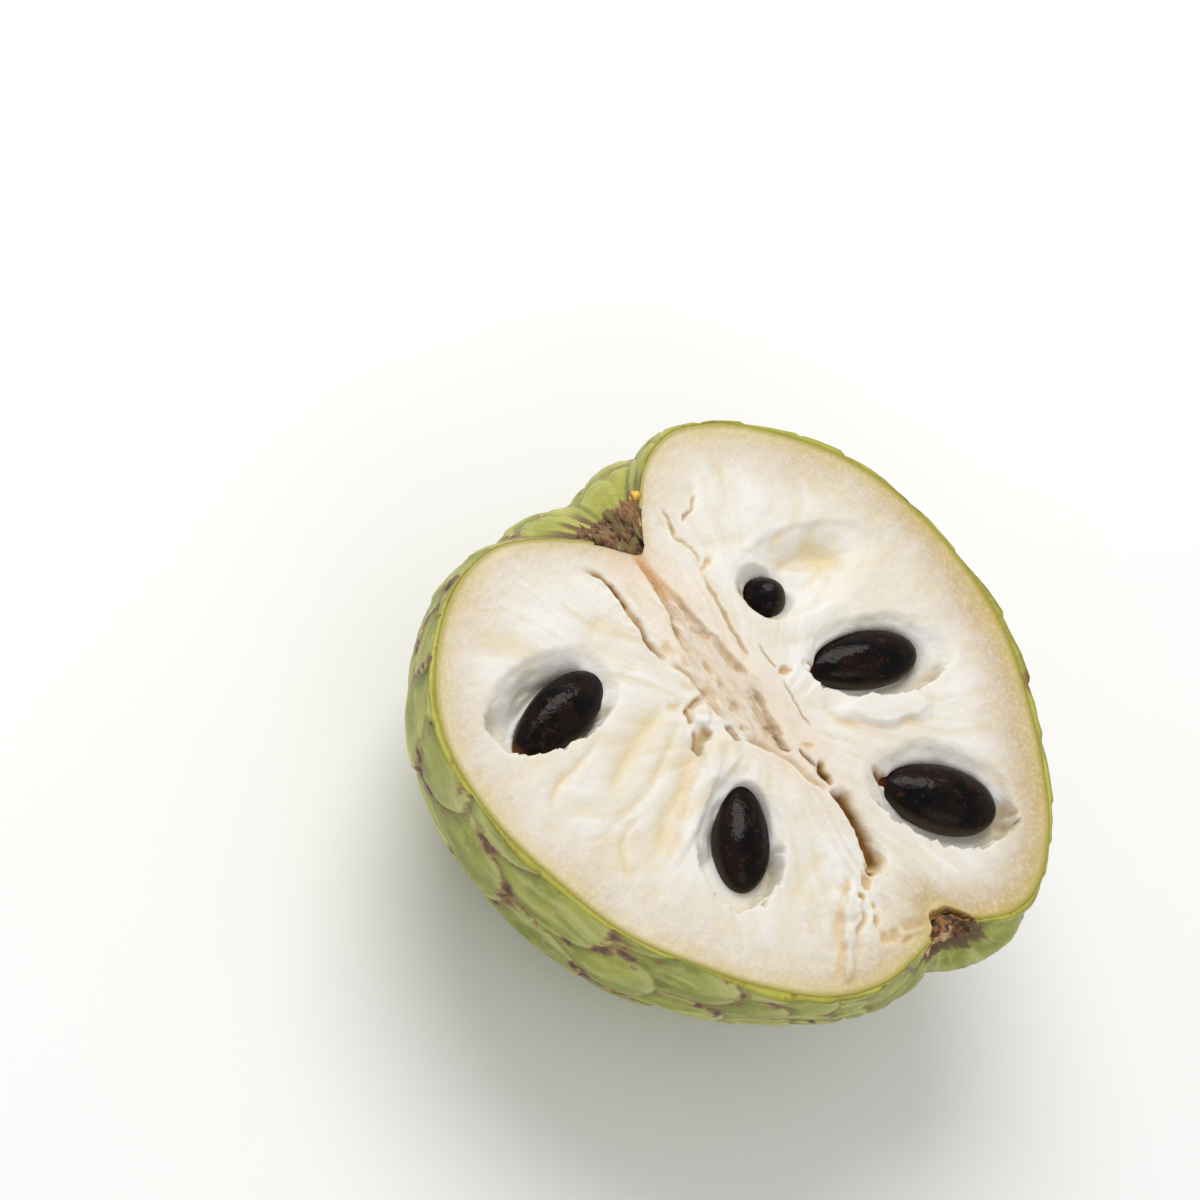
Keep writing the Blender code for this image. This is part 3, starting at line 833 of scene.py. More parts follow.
def make_stem_scar():
    """The corky scar in the dimple, cut through with the fruit."""

    def angles(a, b):
        """Angles to the side of the stem and below the cut plane."""
        return np.radians((a - 0.5) * 25.0), np.radians(b * 13.0)

    def scar_height(side, down):
        y, z = np.degrees(side), np.degrees(down)
        reach = np.hypot((y - 0.6) / 9.0, z / 10.5) * (1 + 0.12 * noise(y, z, 3.0, 101))
        lumps = fbm(y, z, 2.6, 4, 102, 0.6)
        clefts = step(0.26, 0.0, np.abs(noise(y, z, 2.8, 103, z=3.0)))
        mound = step(1.02, 0.86, reach)
        return mound * (1.9 + 1.5 * lumps - 1.8 * clefts) - 0.5 * (1 - mound)

    def place(a, b, under):
        side, down = angles(a, b)
        directions = direction(math.pi / 2 - down, math.pi - side)
        if under:
            return to_frame(on_skin(directions, 1.3))
        points = on_skin(directions, 0.7, scar_height(side, down))
        ragged = 0.5 + 0.9 * noise(side * 43, down * 43, 1.6, 104, z=1.0)
        inside = step(9.5, 7.0, np.abs(np.degrees(side)))
        points[:, 2] += ragged * step(3.0, 0.0, np.degrees(down)) * inside - 0.9 * (1 - inside)
        return to_frame(points)

    scar = make_patch("stem_scar", STEM_SCAR_CELLS, place, cork_surface())
    side, down = angles(*patch_grid(STEM_SCAR_CELLS))
    set_attribute(scar.data, "tall", np.clip((scar_height(side, down) + 0.3) / 3.0, 0, 1), 0.5)
    orange = step(4.0, 9.0, np.degrees(side)) * step(8.0, 3.0, np.degrees(down))
    set_attribute(scar.data, "orange", orange)


def torn_surface():
    """Torn fibres at the blossom end: dark brown painted shade in its hollows, over brown tissue, with
    tan and pinkish tissue between.
    """
    s = Surface("torn_tissue")
    clouds = s.noise(1.3, 5.0, 0.7)
    tan = s.mix(s.ease(clouds, 0.40, 0.60), (0.42, 0.19, 0.060), (0.80, 0.56, 0.32))
    # Dark brown: partly the tissue's own brown, partly painted shade in the pit's hollows.
    dark = s.mix(s.ease(clouds, 0.42, 0.60), (0.040, 0.012, 0.004), (0.30, 0.125, 0.030))
    s.set(Base_Color=s.mix(s.attribute("shade"), tan, dark))
    s.set(Roughness=s.scaled(clouds, 0.3, 0.45), Normal=s.bump(clouds, 0.4, 0.7))
    return s.made


def make_blossom_scar():
    """Torn tissue lining the pit at the blossom end."""

    def angles(a, b):
        """Bearing and angle below the cut plane, in degrees."""
        return -9.0 + 20.0 * a, -0.6 + 12.5 * b

    def inside_pit(bearing, down):
        ragged = 1 + 0.16 * noise(bearing * 0.8, down * 0.8, 1.8, 121)
        return step(1.06, 0.90, ragged * np.hypot((bearing - PIT[0]) / 6.3, (down - 4.3) / 5.7))

    def relief(bearing, down):
        inside = inside_pit(bearing, down)
        fibres = np.maximum(0.34 * fbm(bearing * 1.5, down * 0.6, 1.1, 4, 123), -0.22)
        lip = step(5.0, 8.0, down) * step(5.0, 1.0, bearing)
        spikes = step(2.5, 5.0, bearing) * step(0.1, 0.5, noise(bearing, down, 1.3, 125))
        return inside * (0.48 + fibres + 0.8 * lip + 0.6 * spikes) - 0.45 * (1 - inside)

    def place(a, b, under):
        bearing, down = angles(a, b)
        directions = direction(math.pi / 2 - np.radians(down), np.radians(bearing))
        points = on_skin(directions, 0.70 if under else 0.35, relief(bearing, down))
        sunk = (1 - inside_pit(bearing, down)) * step(4.0, 1.0, down)
        points[:, 2] -= 0.8 * sunk + 0.15 * under
        return to_frame(points)

    scar = make_patch("blossom_scar", BLOSSOM_SCAR_CELLS, place, torn_surface())
    bearing, down = angles(*patch_grid(BLOSSOM_SCAR_CELLS))
    # Painted shade: dark under the rim at the pit's top, on its right, and on the patch's underside and
    # edges.
    shade = 0.9 * step(7.5, 5.5, down + 0.2 * bearing)
    shade = np.maximum(shade, np.exp(-(((bearing - 5.2) / 2.0) ** 2) - ((down - 5.0) / 5.5) ** 2))
    shade += 0.35 * noise(bearing, down * 0.6, 1.2, 124)
    set_attribute(scar.data, "shade", step(0.25, 0.7, shade), 1.0)


def make_bead():
    """A drop of dried amber sap beside the scar."""
    s = Surface("dried_sap")
    clouds = s.noise(1.2, 3.0)
    s.set(Base_Color=s.mix(s.ease(clouds, 0.4, 0.6), (0.55, 0.27, 0.02), (0.80, 0.52, 0.06)))
    s.set(Roughness=s.scaled(clouds, 0.2, 0.15), Normal=s.bump(clouds, 0.2, 0.5))
    bm = sphere(32, 20)
    co = np.array([v.co for v in bm.verts])
    swell = 1 + 0.12 * noise(co[:, 0] * 3, co[:, 1] * 3, 2.2, 111, z=co[:, 2] * 3)
    points = co * swell[:, None] * np.array(BEAD_HALF_SIZES) + np.array(BEAD_MIDDLE)
    bead = add_object(mesh_from(bm, "sap_bead", to_frame(points), s.made))
    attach(bead, "root")


# Cracks in the cut face: a path, width of the sloping wall, depth, which side stands over it
# (1 left of the path, -1 right), and how dark the painted shade at its bottom is
CRACKS = (
    (((-2.3, -10.7), (0.2, -9.1), (4.4, -8.9), (7.2, -9.3), (9.7, -9.2), (12.5, -10.2),
      (15.8, -10.1), (17.7, -9.4)),
     1.3, 1.1, -1, 0.40),
    (((-0.5, -9.5), (1.1, -8.9), (3.5, -8.8), (5.8, -8.9), (7.2, -9.3)), 1.0, 0.7, -1, 0.95),
    (((8.4, -9.6), (10.9, -9.6), (12.5, -10.2), (14.7, -10.2)), 0.8, 0.7, -1, 0.85),
    (((0.5, -1.8), (3.9, -1.9), (8.2, -2.6), (11.2, -3.4), (13.6, -4.3), (16.3, -5.2), (19.9, -5.7)),
      1.4, 0.7, -1, 0.18),
    (((11.0, -3.3), (12.2, -3.7), (13.6, -4.3), (14.9, -4.9)), 1.0, 0.5, -1, 0.45),
    (((8.5, -0.2), (11.2, 0.3), (14.0, 0.2), (17.3, 0.2), (18.8, 0.9), (21.7, 0.7), (25.8, 0.8),
      (27.7, 0.1)), 1.4, 0.5, 1, 0.15),
    (((8.9, 6.9), (11.7, 6.1), (14.7, 5.4), (17.6, 4.7), (20.8, 4.0), (23.2, 3.3), (25.0, 2.7)),
      0.7, 0.7, 1, 0.30),
    (((-0.9, 7.8), (1.2, 7.2), (2.5, 6.7), (3.7, 7.5), (5.1, 7.8), (6.5, 7.8), (8.1, 7.3)),
      0.8, 0.6, -1, 0.12),
    (((23.2, 6.8), (24.7, 6.0), (26.5, 6.0), (28.4, 6.0)), 0.4, 0.5, 1, 0.3),
    (((29.9, 5.2), (31.6, 5.0), (33.4, 4.5), (35.2, 4.2), (36.6, 3.9), (39.2, 3.5)), 0.35, 0.5, 1, 0.4),
    (((17.7, -9.4), (20.4, -8.3), (24.4, -8.1), (25.2, -8.7), (28.9, -8.3), (30.1, -8.5)),
      1.2, 0.8, -1, 0.22),
    (((30.1, -8.5), (31.7, -9.2), (33.1, -9.3), (33.9, -8.0)), 2.0, 1.4, -1, 0.55),
    (((33.9, -8.0), (37.3, -5.6), (41.7, -4.1), (45.1, -3.6), (46.6, -3.0), (49.1, -2.1)),
      1.6, 0.9, -1, 0.18),
    (((27.7, 0.1), (31.1, -0.3), (33.0, -0.9), (36.4, -2.1), (40.0, -2.4)), 2.4, 1.1, 1, 0.2),
    (((36.2, -2.0), (38.2, -2.6), (40.0, -2.4)), 0.7, 0.7, 1, 0.7),
    (((40.3, -0.6), (41.7, -0.8), (42.9, -0.5), (44.5, -0.2)), 0.7, 0.9, 1, 0.55),
    (((48.0, -1.4), (49.6, -1.9), (52.6, -2.3), (55.3, -2.8), (58.1, -3.6), (60.9, -4.3),
      (62.6, -4.8)), 3.4, 3.2, -1, 1.0),
    (((60.6, -6.6), (62.3, -10.0), (64.3, -13.4), (65.7, -14.8), (67.4, -17.1), (69.1, -17.6),
      (70.5, -19.4), (72.2, -21.4), (73.1, -23.6)),
     1.7, 0.55, 1, 0.0),
    (((72.5, -7.8), (73.3, -5.7), (73.9, -3.9), (74.5, -1.9), (75.4, -1.1)), 2.2, 0.8, -1, 0.18),
    (((68.4, -15.0), (67.5, -12.8), (66.3, -10.4)), 0.8, 0.6, 1, 0.2),
    (((24.5, -11.9), (24.6, -10.5), (24.9, -8.8)), 1.4, 0.8, 1, 0.35),
    (((24.4, -12.1), (25.4, -13.0), (27.4, -13.6)), 0.9, 1.1, -1, 0.5),
    (((31.9, -16.2), (30.3, -15.4), (28.9, -14.3), (28.6, -13.4)), 1.1, 0.9, 1, 0.4),
    (((32.0, -15.8), (31.2, -14.0), (30.7, -12.3), (30.5, -11.0)), 2.4, 1.4, -1, 0.3),
    (((-2.6, 8.9), (-0.2, 8.4), (1.9, 7.6)), 0.5, 0.5, 1, 0.3),
    (((-1.9, 15.1), (-0.1, 12.3), (0.3, 9.9)), 0.6, 0.6, -1, 0.3),
)
# Softer folds: path, half width, depth, and strength of the olive painted shade in them
FOLDS = (
    (((22.5, -12.5), (23.9, -18.8), (25.5, -23.2), (27.4, -28.9), (30.0, -35.5)), 2.2, 0.75, 1.3),
    (((24.0, -11.0), (28.1, -18.2), (30.6, -24.1), (32.0, -27.6), (32.8, -34.0), (33.6, -42.0)),
      0.9, 0.45, 0.7),
    (((29.8, -12.0), (32.1, -16.9), (35.1, -21.9), (36.7, -27.0), (39.5, -31.4), (42.5, -37.0)),
      2.3, 0.95, 1.0),
    (((34.2, -27.5), (34.4, -33.2), (36.0, -36.8), (39.1, -38.9), (44.0, -39.0)), 0.8, 0.35, 0.4),
    (((20.3, -26.2), (21.7, -31.7), (22.3, -34.7), (22.9, -38.9), (23.8, -40.9), (27.0, -42.0)),
      0.7, 0.55, 0.5),
    (((14.3, -12.0), (15.4, -18.3), (17.9, -23.2), (20.3, -28.2)), 0.9, 0.3, 0.15),
    (((13.0, 26.0), (18.4, 29.4), (22.5, 29.6)), 2.6, 0.8, 1.2),
    (((22.0, 11.0), (23.5, 17.5), (24.2, 26.0)), 0.8, 0.35, 0.3),
    (((30.8, 12.0), (31.2, 20.0), (32.4, 26.0), (35.5, 31.0)), 1.5, 0.2, 1.2),
    (((22.4, -14.5), (23.4, -13.0), (24.2, -11.8)), 0.8, 0.5, 0.5),
    (((24.0, 8.0), (27.0, 14.0), (27.5, 22.0), (28.5, 28.0)), 1.6, 0.5, 0.4),
    (((36.0, 5.5), (38.0, 8.5), (41.0, 9.0), (45.0, 12.0)), 1.2, 0.5, 0.4),
    (((50.0, 4.0), (52.0, 8.0), (52.0, 14.0)), 1.6, 0.4, 0.3),
    (((4.5, 8.5), (6.0, 13.0), (9.0, 20.0)), 2.0, 0.4, 0.4),
    (((5.0, -12.0), (6.5, -15.0), (8.0, -17.0), (13.5, -17.5)), 1.4, 0.3, 0.3),
    (((56.0, -8.0), (57.0, -14.0), (60.5, -22.0)), 2.0, 0.4, 0.4),
    (((70.5, -1.8), (73.2, 0.4), (76.0, 3.5)), 2.2, 0.6, 0.5),
)
# Small pits: x, y, half length, half width, yaw, depth, and darkness of the painted shade in them
PITS = (
    (45.8, -0.25, 1.5, 0.7, 2, 2.6, 1.0),
    (62.4, -4.9, 1.0, 0.8, -30, 2.4, 1.0),
    (61.6, -3.6, 1.6, 1.6, 0, 2.0, 0.45),
    (63.0, -6.9, 1.3, 0.9, -40, 1.3, 0.45),
    (64.2, -9.7, 0.8, 0.6, 0, 1.2, 0.5),
    (66.4, -8.8, 0.6, 0.5, 0, 0.8, 0.35),
    (68.6, -10.0, 1.4, 0.7, -50, 1.3, 0.45),
    (71.2, -10.8, 1.2, 0.8, 0, 1.0, 0.3),
    (71.8, -8.8, 1.1, 0.8, 60, 1.1, 0.4),
    (73.5, -8.0, 0.9, 0.7, 60, 1.0, 0.35),
    (8.3, 8.3, 1.5, 0.5, 110, 0.8, 0.35),
    (29.2, 6.7, 1.3, 0.7, 80, 1.4, 0.5),
    (14.2, -4.4, 1.6, 0.5, -20, 0.7, 0.35),
    (16.6, -0.9, 1.9, 0.8, 0, 0.8, 0.25),
    (21.9, 0.0, 2.2, 0.8, 0, 0.8, 0.22),
    (15.9, -7.8, 1.4, 0.6, 0, 0.5, 0.25),
    (19.2, -6.8, 1.6, 0.5, 0, 0.5, 0.25),
    (21.6, -4.5, 1.0, 0.5, -10, 0.8, 0.3),
    (25.1, -3.9, 1.3, 0.5, -20, 0.9, 0.35),
    (29.0, -4.7, 1.0, 0.6, 0, 0.9, 0.35),
    (25.3, -7.0, 1.5, 0.9, 0, 0.7, 0.25),
    (24.8, 0.8, 0.8, 0.5, 0, 0.7, 0.35),
    (35.3, -2.0, 1.5, 0.7, -10, 1.0, 0.6),
    (32.9, -6.1, 0.7, 0.5, 0, 0.8, 0.4),
    (41.2, 0.6, 1.0, 0.6, 30, 0.5, 0.3),
    (31.9, 12.9, 1.6, 0.8, 60, 2.6, 0.9),
    (51.5, 9.0, 1.7, 0.8, 38, 2.6, 0.9),
)
# White swollen places: x, y, half length, half width, yaw, height
SWELLS = (
    (43.8, 17.0, 8.0, 2.7, 64, 1.1),
    (46.8, 21.8, 2.9, 2.4, 64, 0.35),
    (27.0, -10.8, 2.6, 1.6, -30, 0.6),
    (34.5, -13.0, 4.5, 2.6, -62, 0.5),
    (37.3, -21.0, 11.0, 1.8, -62, 0.7),
    (64.3, -11.6, 3.2, 1.5, -62, 0.55),
    (68.0, -15.6, 2.4, 1.2, -50, 0.5),
    (71.3, -19.6, 3.0, 1.1, -50, 0.6),
    (65.6, -5.0, 1.4, 1.8, 0, 0.15),
)
# The open middle of the core: its edges along the lower and upper sides
OPEN_LOWER = (
    (0.5, -1.8), (3.9, -1.9), (8.2, -2.6), (13.6, -4.3), (18.6, -5.7), (20.4, -8.3),
    (24.4, -8.1), (28.9, -8.3), (33.1, -9.3), (35.1, -7.1), (39.6, -4.6),
)
OPEN_UPPER = (
    (1.0, 0.0), (5.2, -0.5), (8.5, -0.2), (11.2, 0.3), (17.3, 0.2), (24.9, 0.7),
    (27.9, 1.5), (33.0, -0.8), (40.0, -2.4),
)


def along_path(x, y, path):
    """Signed distance from the path, + to its left, and how far along it, 0 to 1."""
    lengths = [math.dist(a, b) for a, b in zip(path, path[1:])]
    total, run = sum(lengths), 0.0
    best, signed, share = np.full_like(x, 1e9), np.zeros_like(x), np.zeros_like(x)
    for (ax, ay), (bx, by), length in zip(path, path[1:], lengths):
        dx, dy = (bx - ax) / length, (by - ay) / length
        u = (x - ax) * dx + (y - ay) * dy
        side = (y - ay) * dx - (x - ax) * dy
        t = np.clip(u, 0, length)
        away = np.hypot(x - ax - t * dx, y - ay - t * dy)
        closer = away < best
        best = np.where(closer, away, best)
        signed = np.where(closer, np.where(side >= 0, away, -away), signed)
        share = np.where(closer, (run + t) / total, share)
        run += length
    return signed, share


def oval_at(x, y, cx, cy, half_length, half_width, yaw):
    """Distance from an oval's middle, as a share of its reach."""
    c, s = math.cos(math.radians(yaw)), math.sin(math.radians(yaw))
    along = ((x - cx) * c + (y - cy) * s) / half_length
    across = (-(x - cx) * s + (y - cy) * c) / half_width
    return np.hypot(along, across)


def facing(x, y, middle, side):
    """How much each point lies on that side of the middle: 1 straight on, -1 opposite."""
    dx, dy = x - middle[0], y - middle[1]
    return (dx * side[0] + dy * side[1]) / np.maximum(np.hypot(dx, dy), 0.01)


def hollow_at(x, y, pocket, index):
    """Share of its depth, reach, and nearness of the torn wall, in the hollow round one seed."""
    r = oval_at(x, y, *pocket[:5])
    r = r * (1 + 0.07 * noise(x, y, 6.0, 51, z=index * 9.0)) + 0.025 * noise(x, y, 1.6, 52, z=index)
    toward = facing(x, y, pocket, NEAR)
    wall = np.clip((1.06 - r) / HOLLOW_WALLS[index], 0, 1)
    if index == END_ON:
        lip = step(1.03, 0.90, r) * step(0.1, -0.5, toward)
        return 0.86 * wall**1.5 + 0.14 * lip, r, np.zeros_like(r)
    near = step(-0.1, 0.45, toward)
    ripple = np.sin(r * 30 + 3 * noise(x, y, 5.0, 53)) + 0.8 * noise(x, y, 1.5, 55)
    gentle = wall**1.35 + 0.015 * ripple * step(0, 0.3, wall) * step(0.45, 0.6, r)
    steep = step(1.0, 0.84, r + 0.06 * noise(x, y, 1.0, 54))
    return gentle * (1 - near) + steep * near, r, near


def seed_reach(x, y, seed, level):
    """Distance from the seed's axis at a level, as a share of the seed's own reach there."""
    sx, sy, depth, length, width, thickness, yaw, pitch = seed
    tilt = math.radians(pitch)
    tall = math.hypot(length / 2 * math.sin(tilt), thickness / 2 * math.cos(tilt))
    rise = (depth - level) / tall
    slim = math.sqrt(max(1 - rise * rise, 0.05))
    run = 1 / math.hypot(math.cos(tilt) / (length / 2), math.sin(tilt) / (thickness / 2))
    lean = (length**2 - thickness**2) / 4 * math.sin(tilt) * math.cos(tilt) / tall**2
    lean *= depth - level
    cx = sx + lean * math.cos(math.radians(yaw))
    cy = sy + lean * math.sin(math.radians(yaw))
    return oval_at(x, y, cx, cy, run * slim, width / 2 * slim, yaw)


def smear(values, cells):
    """Mean over the neighbouring cells of the face's grid, taken twice along each side."""
    grid, span = values.reshape(FLESH_CELLS[0] + 1, -1), 2 * cells + 1
    for _ in range(4):
        total = np.cumsum(np.pad(grid, ((cells, cells), (0, 0)), "edge"), axis=0)
        total = np.concatenate([np.zeros_like(total[:1]), total])
        grid = ((total[span:] - total[:-span]) / span).T
    return grid.ravel()


def bent(x, y, strength, size, octaves, seeds, fine=0.0, fine_seeds=(0, 0)):
    """The points moved about by noise, so that what is drawn at them comes out ragged."""
    moved = []
    for values, seed, fine_seed in zip((x, y), seeds, fine_seeds):
        values = values + strength * fbm(x, y, size, octaves, seed)
        moved.append(values + fine * noise(x, y, 0.9, fine_seed))
    return moved


def seed_hollows(x, y):
    """Depth of the hollows, how white they are, a brown side, and how far their lips lean in."""
    depth, white, push = np.zeros_like(x), np.zeros_like(x), np.zeros((len(x), 2))
    jag = 0.6 + 0.5 * noise(x, y, 1.6, 71) + 0.4 * noise(x, y, 0.7, 72)
    for index, (pocket, seed) in enumerate(zip(POCKETS, SEEDS)):
        on_end = index == END_ON
        share, r, near = hollow_at(x, y, pocket, index)
        around = seed_reach(x, y, seed, pocket[5] + (1.9 if on_end else 0.0))
        moat = hump(around, 1.05, 0.16) * (1 - 0.6 * near)
        deep = pocket[5] * share + (0.3 if on_end else 0.9) * moat * step(0.35, 0.8, share)
        deep = np.where(around < 0.93, deep + 6.0 * step(0.93, 0.7, around), deep)
        if on_end:
            mouth = 1.6 - 0.35 * step(-0.3, 0.6, facing(x, y, seed, NEAR))
            mouth += 0.05 * noise(x, y, 1.0, 56)
            deep = np.maximum(deep, 2.7 * step(mouth, 0.85, around))
            brown = 0.9 * step(1.30, 1.10, around) * step(-0.2, 0.5, facing(x, y, seed, (0, -1)))
            brown = brown * step(-0.3, 0.3, noise(x, y, 1.2, 57))
        depth = np.maximum(depth, deep)
        white = np.maximum(white, step(1.12, 0.66, r) * (0.35 if on_end else 1.0))
        push -= (hump(r, 1.03, 0.09) * near * jag)[:, None] * np.array(NEAR)
    return depth, white, brown, push


def add_cracks(x, y, raggedness, depth):
    """Depth with the cracks, and their painted shade: dark at their bottoms, tan on their walls."""
    crack_shade, trough_shade = np.zeros_like(x), np.zeros_like(x)
    for path, wall, deep, over, dark in CRACKS:
        signed, share = along_path(x, y, path)
        ends = step(0.0, 0.20, share) * step(1.0, 0.84, share)
        ends = np.clip(ends * (0.9 + 0.3 * raggedness), 0, 1)
        side = signed * over
        slope = step(-1.35 * wall, -0.1, side) ** 1.4
        depth = depth + deep * step(0.12, -0.12, side) * slope * ends
        depth = depth - 0.2 * min(wall, 1.0) * hump(side, 0.45, 0.5) * ends
        # Painted shade: dark at the crack's bottom, tan on its wall.
        bottom = step(0.12, -0.06, side) * step(0.12, 0.62, slope)
        crack_shade = np.maximum(crack_shade, dark * bottom * np.clip(ends * 1.4, 0, 1))
        tan = step(0.15, -0.1, side) * step(-1.3 * wall, -0.2, side)
        trough_shade = np.maximum(trough_shade, (0.35 + 0.5 * dark) * tan * ends)
    return depth, crack_shade, trough_shade


def add_folds(x, y, depth):
    """Depth with the softer folds, and the olive painted shade in them."""
    olive = np.zeros_like(x)
    for path, half_width, deep, shade in FOLDS:
        signed, share = along_path(x, y, path)
        ends = step(0.0, 0.3, share) * step(1.0, 0.65, share)
        profile = step(0.5 * half_width, -0.5 * half_width, signed)
        profile = profile * step(-2.6 * half_width, 0.0, signed)
        profile = 0.5 * profile + 0.5 * hump(signed, 0.0, half_width)
        depth = depth + deep * profile * ends
        # The olive is painted shade along the fold.
        olive = np.maximum(olive, shade * profile * ends)
    return depth, olive


def add_pits(x, y, raggedness, depth, crack_shade, trough_shade):
    """Depth, and painted shade, dark at the bottoms and tan on the walls, with the small pits added."""
    for *oval, deep, dark in PITS:
        r = oval_at(x, y, *oval) + 0.35 * raggedness
        depth = depth + 0.6 * deep * step(1.5, 0.2, r)
        # Painted shade in the pit: dark at its bottom, tan on its wall.
        crack_shade = np.maximum(crack_shade, dark * (1.0 if dark > 0.5 else 0.5) * step(1.15, 0.5, r))
        trough_shade = np.maximum(trough_shade, 0.7 * step(1.7, 0.9, r))
    return depth, crack_shade, trough_shade


def warm_core(x, y):
    """The orange tint of the core's open middle and of its end at the stem."""
    upper, lower = (along_path(x, y, edge)[0] for edge in (OPEN_UPPER, OPEN_LOWER))
    warm = step(1.0, -0.3, upper) * step(-0.5, 0.5, lower) * step(0.42, 0.12, x / 40.0)
    warm = np.clip(warm * (0.85 + 0.4 * noise(x * 0.4, y, 1.2, 75)), 0, 0.9)
    return np.maximum(warm, 0.45 * hump(np.hypot(x + 1.0, y + 1.5), 0.0, 4.0))


def open_core(x, y, ragged, depth, trough_shade):
    """Share of the core's open middle, then depth with its strands, webs and pits, and tan painted shade
    in the pits.
    """
    upper, lower = (along_path(*ragged, edge)[0] for edge in (OPEN_UPPER, OPEN_LOWER))
    opened = step(0.6, -0.5, upper) * step(-0.6, 0.5, lower) * step(2, 12, x) * step(42, 36, x)
    slant = y + 0.12 * x
    strands = fbm(x * 0.30, slant, 1.5, 4, 81)
    webs = step(0.30, 0.0, np.abs(noise(x * 0.42, slant, 1.9, 87)))
    pits = step(0.05, 0.6, noise(x * 0.5, slant, 1.9, 82)) * (1 - webs)
    depth = depth + opened * (0.44 + 0.24 * strands + 0.12 * pits - 0.20 * webs)
    return opened, depth, np.maximum(trough_shade, opened * 0.35 * pits)


def swelling(x, y, wavy, streaks, core, from_edge):
    """How far the pulp stands above the cut plane."""
    swell = 0.5 * hump(y, -1.5, 9.0) * step(4, 14, x) * step(66, 44, x)
    for *oval, height in SWELLS:
        r = oval_at(wavy[0] * 0.5 + x * 0.5, wavy[1] * 0.5 + y * 0.5, *oval)
        swell += height * step(1.15, 0.65, r)
    swell += 0.22 * fbm(x, y, 13.0, 4, 83) + 0.06 * fbm(x, y, 2.5, 3, 84)
    swell += 0.12 * streaks
    crumbs = step(11, 5, np.hypot(x - 67, (y + 13) * 0.7))
    swell += 0.22 * crumbs * fbm(x, y, 2.6, 3, 90)
    swell += 0.07 * step(13, 4, from_edge) * fbm(x, y, 1.5, 3, 85)
    return swell + 0.14 * core * noise((x - 30) * 0.22, y, 1.3, 86)


def make_flesh():
    """The pulp: a finely shaped cut face over a plain underside."""
    reach, bearing = disc_of(grid_square(FLESH_CELLS[0], CORE_CROWD))
    rim = on_skin(direction(rim_angle(bearing), bearing), FLESH_INSET)
    x = CENTRE_X + (rim[:, 0] - CENTRE_X) * reach
    y = rim[:, 1] * reach
    from_edge = (1 - reach) * np.hypot(rim[:, 0] - CENTRE_X, rim[:, 1])
    in_face = step(0.0, 2.5, from_edge)
    wavy = bent(x, y, 0.7, 5.0, 4, (61, 63), 0.2, (62, 64))
    ragged = bent(x, y, 0.22, 2.2, 3, (65, 66), 0.14, (67, 68))
    pitted = bent(x, y, 0.6, 2.4, 3, (69, 70))

    depth, hollow, brown, push = seed_hollows(x, y)
    depth, crack_shade, trough_shade = add_cracks(*ragged, noise(x, y, 4.0, 73), depth)
    depth, olive = add_folds(0.6 * x + 0.4 * wavy[0], 0.6 * y + 0.4 * wavy[1], depth)
    grit = noise(x, y, 1.1, 76)
    depth, crack_shade, trough_shade = add_pits(*pitted, grit, depth, crack_shade, trough_shade)
    opened, depth, trough_shade = open_core(x, y, ragged, depth, trough_shade)
    core = hump(np.abs(y + 1.8), 0.0, 6.2, 4) * (step(-4, 3, x) * step(58, 38, x))

    far = np.hypot(y + 2.0, (x - CENTRE_X) * 0.75)
    around = np.arctan2(y + 2.0, (x - CENTRE_X) * 0.75) * 26 + 2.0 * noise(x, y, 10.0, 88)
    streak = fbm(around, far * 0.16, 2.4, 4, 89, 0.6)
    fibrous = step(5, 10, far) * step(2, 9, from_edge) * (1 - 0.8 * hollow)
    swell = swelling(x, y, wavy, streak * fibrous, core, from_edge)

    frayed = 0.5 * noise(x, y, 1.4, 91) + 0.25 * noise(x, y, 0.6, 94)
    torn = np.clip(rim_drop(bearing) / TORN_RIM[2], 0, 1)
    torn = torn * step(0.9, 0.3, from_edge + 0.6 * frayed)
    z = np.minimum((swell - depth) * in_face, 1.0) - torn * 0.9
    # Painted shade, warm tan, where the face lies below its close surroundings.
    cavity_shade = np.clip(-(z - smear(z, 4)) / 0.35, 0, 1)
    cavity_shade = cavity_shade * (1 - 0.9 * hollow) * (1 - 0.5 * opened) * in_face
    # Painted shade over broad valleys of the face.
    valley_shade = np.clip((smear(z, 12) - z) / 0.7, 0, 1)
    valley_shade = valley_shade * (1 - 0.6 * hollow) * (1 - 0.7 * opened) * in_face
    band = 0.42 + 0.58 * step(-0.4, 0.9, np.cos(bearing - 0.9))
    band += 0.25 * noise(x, y, 12.0, 93)

    push = push * in_face[:, None]
    face = np.stack([x + push[:, 0], y + push[:, 1], z], axis=1)
    at_rim = reach > 0.9999
    face[at_rim, 2] = rim[at_rim, 2]
    directions = bowl(FLESH_CELLS[1], CORE_CROWD, FLESH_SHORT)
    under = to_frame(on_skin(directions, FLESH_INSET, below_pit(directions)))
    mesh = two_sheets("flesh_look", to_frame(face), under, FLESH_CELLS, True, [flesh_surface()])
    values = {
        "rim": from_edge,
        "hollow": hollow,
        "core": np.clip(core, 0, 1),
        "crack_shade": np.clip(crack_shade, 0, 1),
        "warm": np.maximum(warm_core(x, y), brown),
        "trough_shade": np.clip(trough_shade, 0, 1),
        "streak": streak * fibrous,
        "cavity_shade": cavity_shade,
        "scar": torn,
        "open": opened,
        "band": np.clip(band, 0, 1),
        "olive": np.clip(olive, 0, 1),
        "valley_shade": valley_shade,
    }
    for name, numbers in values.items():
        set_attribute(mesh, name, numbers)
    flesh = add_object(mesh)
    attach(flesh, "root")
    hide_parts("flesh")


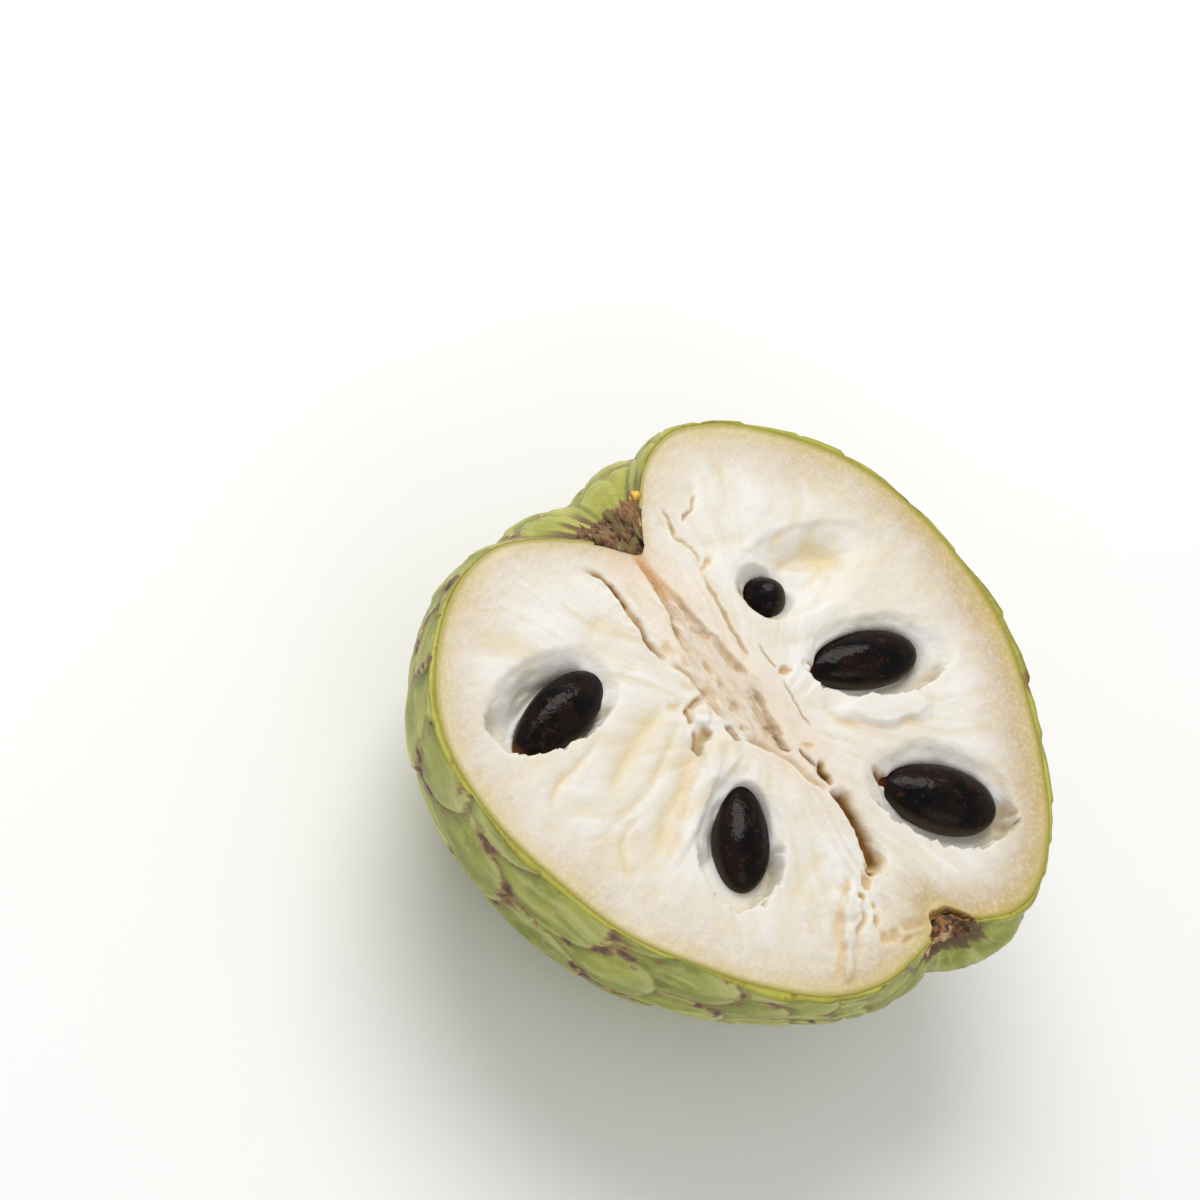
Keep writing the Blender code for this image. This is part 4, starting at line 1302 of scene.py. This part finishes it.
def make_seed(number, seed, coat):
    """One loose seed, drawn along X and then turned and laid in its hollow."""
    x, y, depth, length, width, thickness, yaw, pitch = seed
    bm = sphere(72, 48)
    bmesh.ops.rotate(bm, verts=bm.verts, matrix=Matrix.Rotation(math.radians(90), 3, "Y"))
    co = np.array([v.co for v in bm.verts])
    u, v, w = co.T
    slim = 1.0 + SEED_TAPER * u - SEED_TUCK * u * u
    lump = 0.12 * fbm(u * 4 + number * 5, v * 4, 2.4, 3, 90 + number, z=w * 4)
    local = [u * length / 2, v * slim * (width / 2 + lump), w * slim * (thickness / 2 + lump)]
    mesh = mesh_from(bm, f"seed_{number}_look", np.stack(local, axis=1), coat, MM)
    turn = Euler((0.0, math.radians(-pitch), math.radians(yaw)), "XYZ").to_matrix().to_4x4()
    place = Matrix.Translation(Vector(to_frame(np.array([x, y, -depth]))))
    mesh.transform(place @ turn)
    set_attribute(mesh, "sides", np.hypot(v, u * 0.9) * (1 - 0.15 * w))
    set_attribute(mesh, "end", -u)
    made = add_object(mesh)
    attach(made, "root")
    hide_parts(f"seed_{number}")


# --- camera, light and floor ---


def make_camera():
    """The camera fitted to the photo: a long lens, looking down on the cut face."""
    lens = bpy.data.cameras.new("camera")
    lens.lens, lens.sensor_width = 134.4, 36.0
    lens.clip_start, lens.clip_end = 0.05, 20.0
    turn = Matrix(
        (
            (0.63637, -0.76268, 0.11553),
            (0.68035, 0.48437, -0.55001),
            (0.36353, 0.42861, 0.82713),
        )
    )
    place = Vector(to_frame(np.array([83.477, -392.730, 573.406])))
    camera = add_object(lens)
    camera.matrix_world = Matrix.Translation(place) @ turn.to_4x4()
    bpy.context.scene.camera = camera


def make_light(name, toward, distance, size, energy, colour):
    """A round lamp on that side of the fruit, turned to it."""
    lamp = bpy.data.lights.new(name, "AREA")
    lamp.shape, lamp.size, lamp.energy, lamp.color = "DISK", size, energy, colour
    made = add_object(lamp)
    way = Vector(toward).normalized()
    made.location = way * distance + Vector((0.0, 0.0, 0.03))
    made.rotation_mode = "QUATERNION"
    made.rotation_quaternion = (-way).to_track_quat("-Z", "Y")


def make_floor():
    """A pale floor just under the fruit."""
    s = Surface("pale_floor")
    s.set(Base_Color=(0.93, 0.93, 0.93), Roughness=0.9, Specular_IOR_Level=0.1)
    bm = bmesh.new()
    bmesh.ops.create_grid(bm, x_segments=4, y_segments=4, size=3.0)
    mesh = bpy.data.meshes.new("floor")
    bm.to_mesh(mesh)
    bm.free()
    mesh.materials.append(s.made)
    floor = add_object(mesh)
    floor.location = (0.0, 0.0, cad_box[0][2] - 0.0002)


def make_world():
    """Even white light from all round."""
    world = bpy.data.worlds.new("studio")
    world.use_nodes = True
    background = world.node_tree.nodes["Background"]
    background.inputs["Color"].default_value = (1.0, 1.0, 1.0, 1.0)
    background.inputs["Strength"].default_value = 0.58
    bpy.context.scene.world = world


make_rind()
make_flesh()
make_stem_scar()
make_bead()
make_blossom_scar()
coat = seed_surface()
for number, seed in enumerate(SEEDS, start=1):
    make_seed(number, seed, coat)
make_floor()
make_world()
make_light("key", (-0.555, 0.215, 0.803), distance=0.9, size=0.65, energy=5.2, colour=(1.0, 0.985, 0.96))
make_light("fill", (0.7, -0.5, 0.6), distance=1.2, size=0.8, energy=1.5, colour=(1.0, 1.0, 1.0))
make_camera()
bpy.context.scene.view_settings.view_transform = "Standard"
